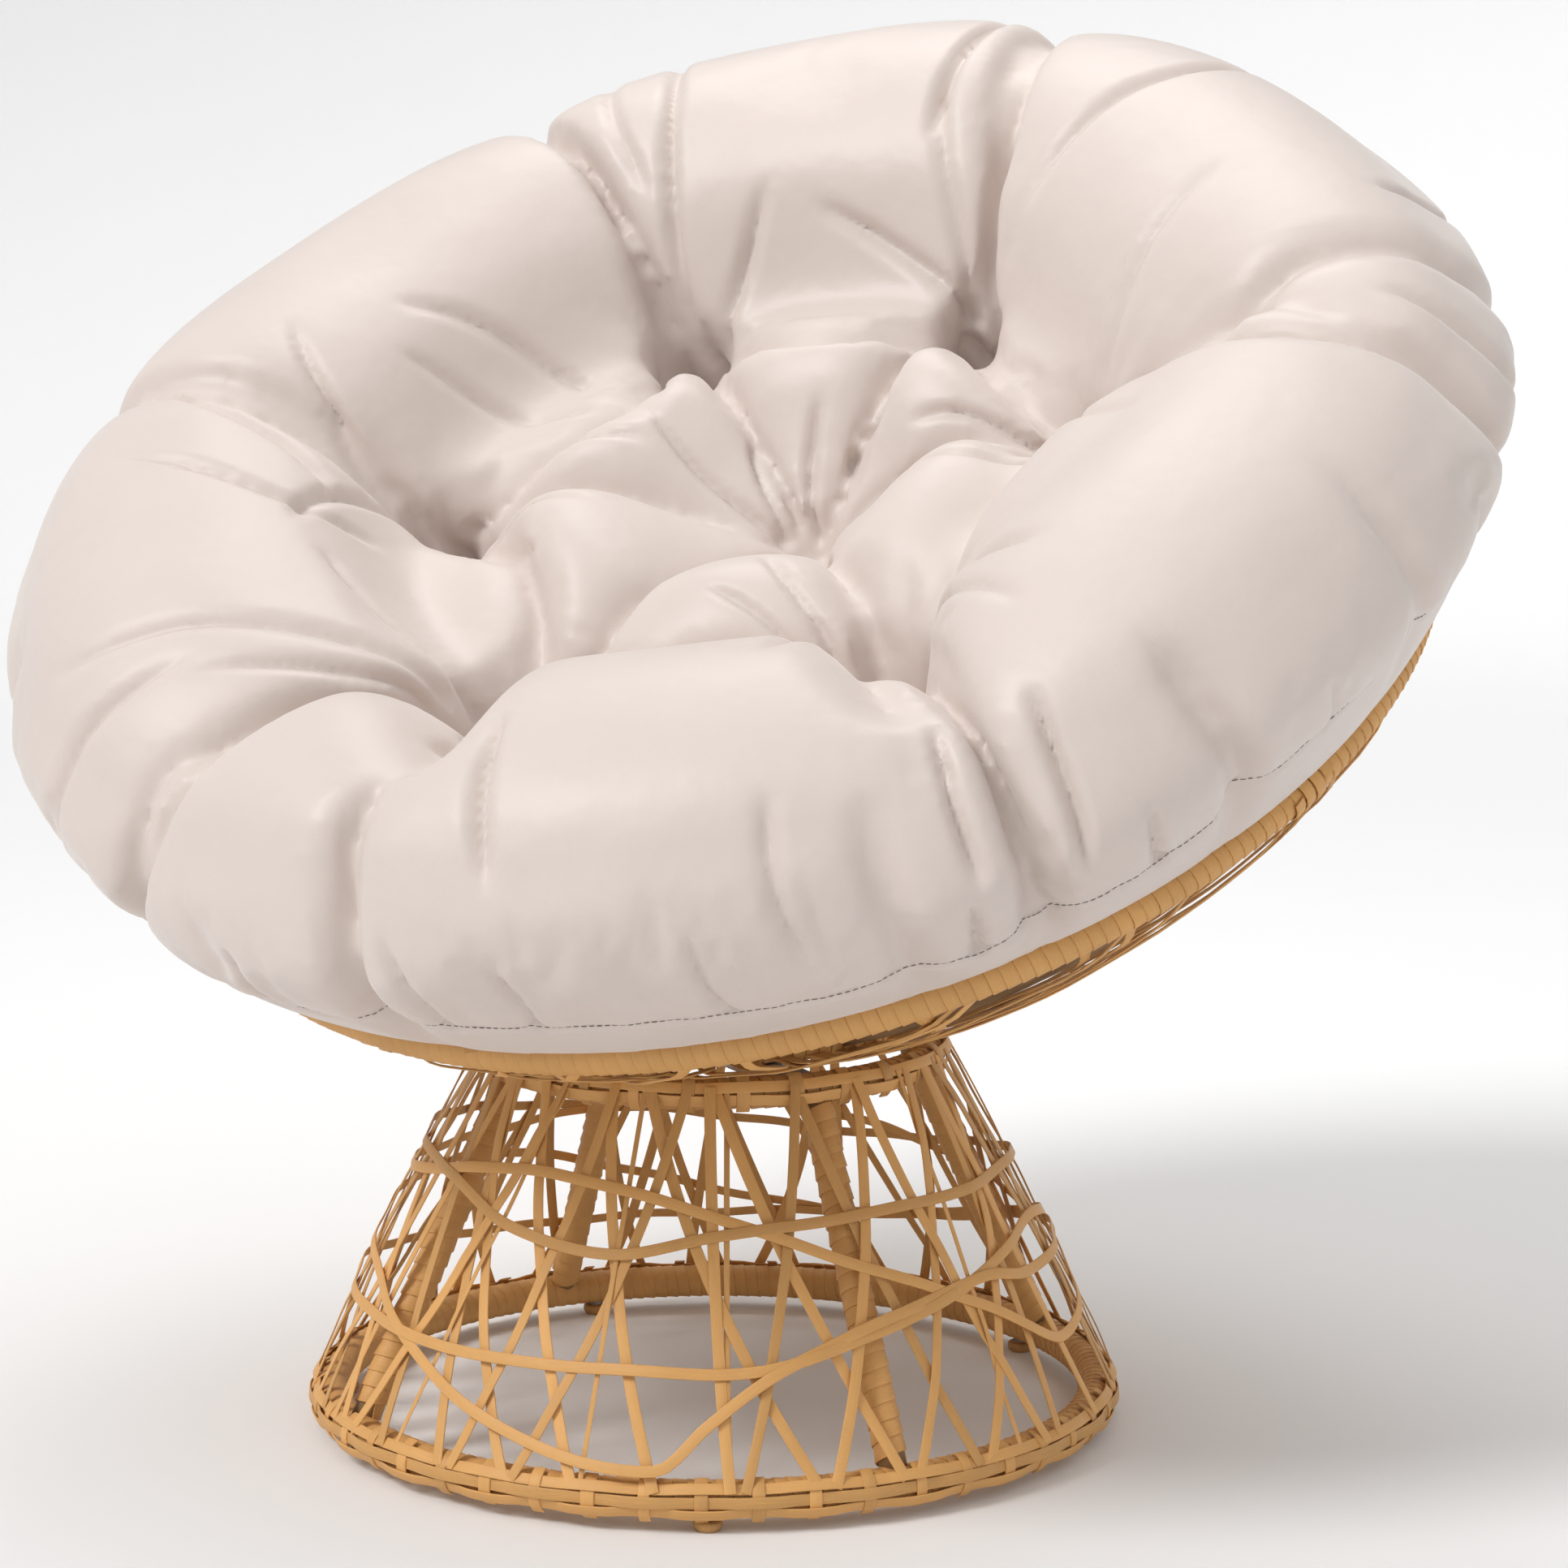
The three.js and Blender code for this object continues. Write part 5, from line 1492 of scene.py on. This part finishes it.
class CHAIR_OT_drum_weave(Maker, bpy.types.Operator):
    """Weaves the drum's strands, hoops and courses"""
    bl_idname = "chair.drum_weave"
    bl_label = "Drum weave"

    def execute(self, context):
        random = np.random.default_rng(DRUM_SEED)
        routes, widths = drum_routes(random)
        lifts = [STRAND_LIFT + swing for swing in crossing_offsets(routes, STRAND_SWING)]
        made = strips_on_wall("drum_strands", drum_skin, routes, lifts, random, widths)
        settle(made, "base", "resin_wicker", "drum_strands_1", "drum_strands_2")
        for k, (name, places) in enumerate(HOOPS.items()):
            lift = [HOOP_LIFT + k * HOOP_STACK + HOOP_SWING * math.sin(HOOP_SWING_RATE * i + k)
                    for i in range(HOOP_STEPS)]
            route = hoop_route(places)
            hoop = strips_on_wall(f"{name}_strip", drum_skin, [route], [lift], random, closed=True)
            settle(hoop, "base", "resin_wicker", name)
        for (name, body, radius, height, tube), courses in zip(RINGS, RING_COURSES):
            for piece in add_courses(name, (radius, height), tube, *courses, random):
                settle(piece, body, "resin_wicker")
        return {"FINISHED"}


class CHAIR_OT_bowl_weave(Maker, bpy.types.Operator):
    """Weaves the strands under the bowl"""
    bl_idname = "chair.bowl_weave"
    bl_label = "Bowl weave"

    def execute(self, context):
        random = np.random.default_rng(BOWL_SEED)
        count = sizes().bowl_strands
        routes = []
        for i in range(count):
            foot = 360 * (i + random.uniform(*BOWL_STRAY)) / count
            lean = random.uniform(*BOWL_LEAN) * (1 if i % 2 else -1)
            routes.append(strand_route(foot, foot + lean, random.uniform(*BACK_BOW)))
        lifts = [BOWL_STRAND_LIFT + swing for swing in crossing_offsets(routes, BOWL_STRAND_SWING)]
        lifts = [tucked(route, lift) for route, lift in zip(routes, lifts)]
        made = strips_on_wall("bowl_strands", bowl_skin, routes, lifts, random)
        settle(made, "seat", "resin_wicker", "bowl_strands_1", "bowl_strands_2")
        return {"FINISHED"}


# A foot's outline as radius and height in mm, from its face on the floor to the top of its stem,
# and the grooves between the ribs round it
FOOT_OUTLINE = [
    (7.6, 0), (8.4, .5), (9.6, 2.4), (10, 3.2), (10, 5.6), (9.5, 6.6), (8.6, 7.2), (3, 7.25), (3, 21.2)]
FOOT_SIDES = 72
FOOT_RIBS = 24
FOOT_GROOVE = 0.35
FOOT_RIB_HEIGHTS = (1, 7)


class CHAIR_OT_feet(Maker, bpy.types.Operator):
    """Makes the ribbed feet under the lower ring"""
    bl_idname = "chair.feet"
    bl_label = "Feet"

    def execute(self, context):
        for k, degrees in enumerate(GLIDE_DEGREES):
            middle = polar(LOWER_RING, math.radians(degrees) + DRUM_TURN, 0)
            points = []
            for radius, height in FOOT_OUTLINE:
                for i in range(FOOT_SIDES):
                    turn = FULL_TURN * i / FOOT_SIDES
                    ribbed = FOOT_RIB_HEIGHTS[0] < height < FOOT_RIB_HEIGHTS[1]
                    groove = FOOT_GROOVE * min(0, math.cos(FOOT_RIBS * turn)) if ribbed else 0
                    reach = radius + groove
                    edge = Vector((reach * math.cos(turn), reach * math.sin(turn), height))
                    points.append(middle + edge * MM)
            faces = rows_to_faces(len(FOOT_OUTLINE), FOOT_SIDES)
            faces.append(tuple(range(FOOT_SIDES)))
            faces.append(tuple(range(len(points) - FOOT_SIDES, len(points))))
            made = mesh_object(f"foot_{k + 1}", points, faces, LOOKS["glide_nylon"])
            turn_outwards(made)
            made.data.set_sharp_from_angle(angle=math.radians(50))
            settle(made, "base", "glide_nylon", f"glide_{k + 1}")
        return {"FINISHED"}


class CHAIR_OT_ironwork(Maker, bpy.types.Operator):
    """Gives the turning plate, arms, bolts and sleeves their finishes"""
    bl_idname = "chair.ironwork"
    bl_label = "Ironwork"

    def execute(self, context):
        for name, node in frame["nodes"].items():
            plated = "bolt" in name or "swivel" in name or "insert" in name or name == "ball_cage"
            look = LOOKS["plated_steel"] if plated else LOOKS["painted_steel"]
            node.data.materials.clear()
            node.data.materials.append(look)
        return {"FINISHED"}


# Where the deep folds are deeper than this, the cloth is smoothed this many times more
VALLEY_DEPTH = 5 * MM
VALLEY_SMOOTHING = 16


class CHAIR_OT_pad(Maker, bpy.types.Operator):
    """Makes the tufted pad and its seams"""
    bl_idname = "chair.pad"
    bl_label = "Pad"

    def execute(self, context):
        rows, grid, degrees = pad_rows()
        made = pad_mesh("cushion_pad", LOOKS["cushion_fabric"], rows)
        rest = made.data.attributes.new("rest", "FLOAT_VECTOR", "POINT")
        rest.data.foreach_set("vector", vectors(made.data.vertices, "co").ravel())
        settle_cloth(made, grid)
        smoothed(made, 2)
        finer(made)
        press_folds(made, fold_lines(grid, degrees, FINE_FOLDS), grid)
        smoothed(made, 1)
        points = in_rim_plane(vectors(made.data.vertices, "co"))
        depth = fold_depth(points, fold_lines(grid, degrees, DEEP_FOLDS))
        group_points(made, "valleys", depth > VALLEY_DEPTH)
        smoothed(made, VALLEY_SMOOTHING, "valleys")
        made.data.shade_smooth()
        settle(made, "cushion", "cushion_fabric", "cushion")
        pad = context.scene.pad_sizes
        path = path_object("seam_stitches", [seam_path(made, grid)], closed=True)
        thread = grown(path, TREES["stitch"], Pitch=pad.stitch_pitch, Length=pad.stitch_length,
                       Thickness=pad.thread, Material=LOOKS["seam_thread"])
        settle(thread, "cushion", "cushion_fabric")
        return {"FINISHED"}


class CHAIR_PT_panel(bpy.types.Panel):
    """Lists the chair's pieces"""
    bl_label = "Papasan chair"
    bl_idname = "CHAIR_PT_panel"
    bl_space_type = "VIEW_3D"
    bl_region_type = "UI"
    bl_category = "Papasan"

    def draw(self, context):
        for maker in MAKERS:
            self.layout.operator(maker.bl_idname)
        for group in (context.scene.chair_sizes, context.scene.pad_sizes, context.scene.chair_colours):
            for key in group.__annotations__:
                self.layout.prop(group, key)


MAKERS = (CHAIR_OT_stage, CHAIR_OT_tubes, CHAIR_OT_windings, CHAIR_OT_drum_weave, CHAIR_OT_bowl_weave,
          CHAIR_OT_feet, CHAIR_OT_ironwork, CHAIR_OT_pad)
CLASSES = (ChairSizes, PadSizes, ChairColours, *MAKERS, CHAIR_PT_panel)


def register():
    for each in CLASSES:
        bpy.utils.register_class(each)
    bpy.types.Scene.chair_sizes = PointerProperty(type=ChairSizes)
    bpy.types.Scene.pad_sizes = PointerProperty(type=PadSizes)
    bpy.types.Scene.chair_colours = PointerProperty(type=ChairColours)


def unregister():
    del bpy.types.Scene.chair_sizes, bpy.types.Scene.pad_sizes, bpy.types.Scene.chair_colours
    for each in reversed(CLASSES):
        bpy.utils.unregister_class(each)


def main():
    register()
    colours = bpy.context.scene.chair_colours
    LOOKS.update(
        resin_wicker=wicker_material(colours), cushion_fabric=cloth_material(colours),
        seam_thread=stitch_material(colours), painted_steel=paint_material(colours),
        plated_steel=plated_material(), glide_nylon=nylon_material(colours), floor=floor_material(colours))
    TREES.update(strand=strand_tree(), winding=winding_tree(), stitch=stitch_tree())
    # The camera comes first, then the steel, the weave, the feet and the pad
    bpy.ops.chair.stage()
    bpy.ops.chair.ironwork()
    bpy.ops.chair.tubes()
    bpy.ops.chair.windings()
    bpy.ops.chair.drum_weave()
    bpy.ops.chair.bowl_weave()
    bpy.ops.chair.feet()
    bpy.ops.chair.pad()


if __name__ == "__main__":
    main()
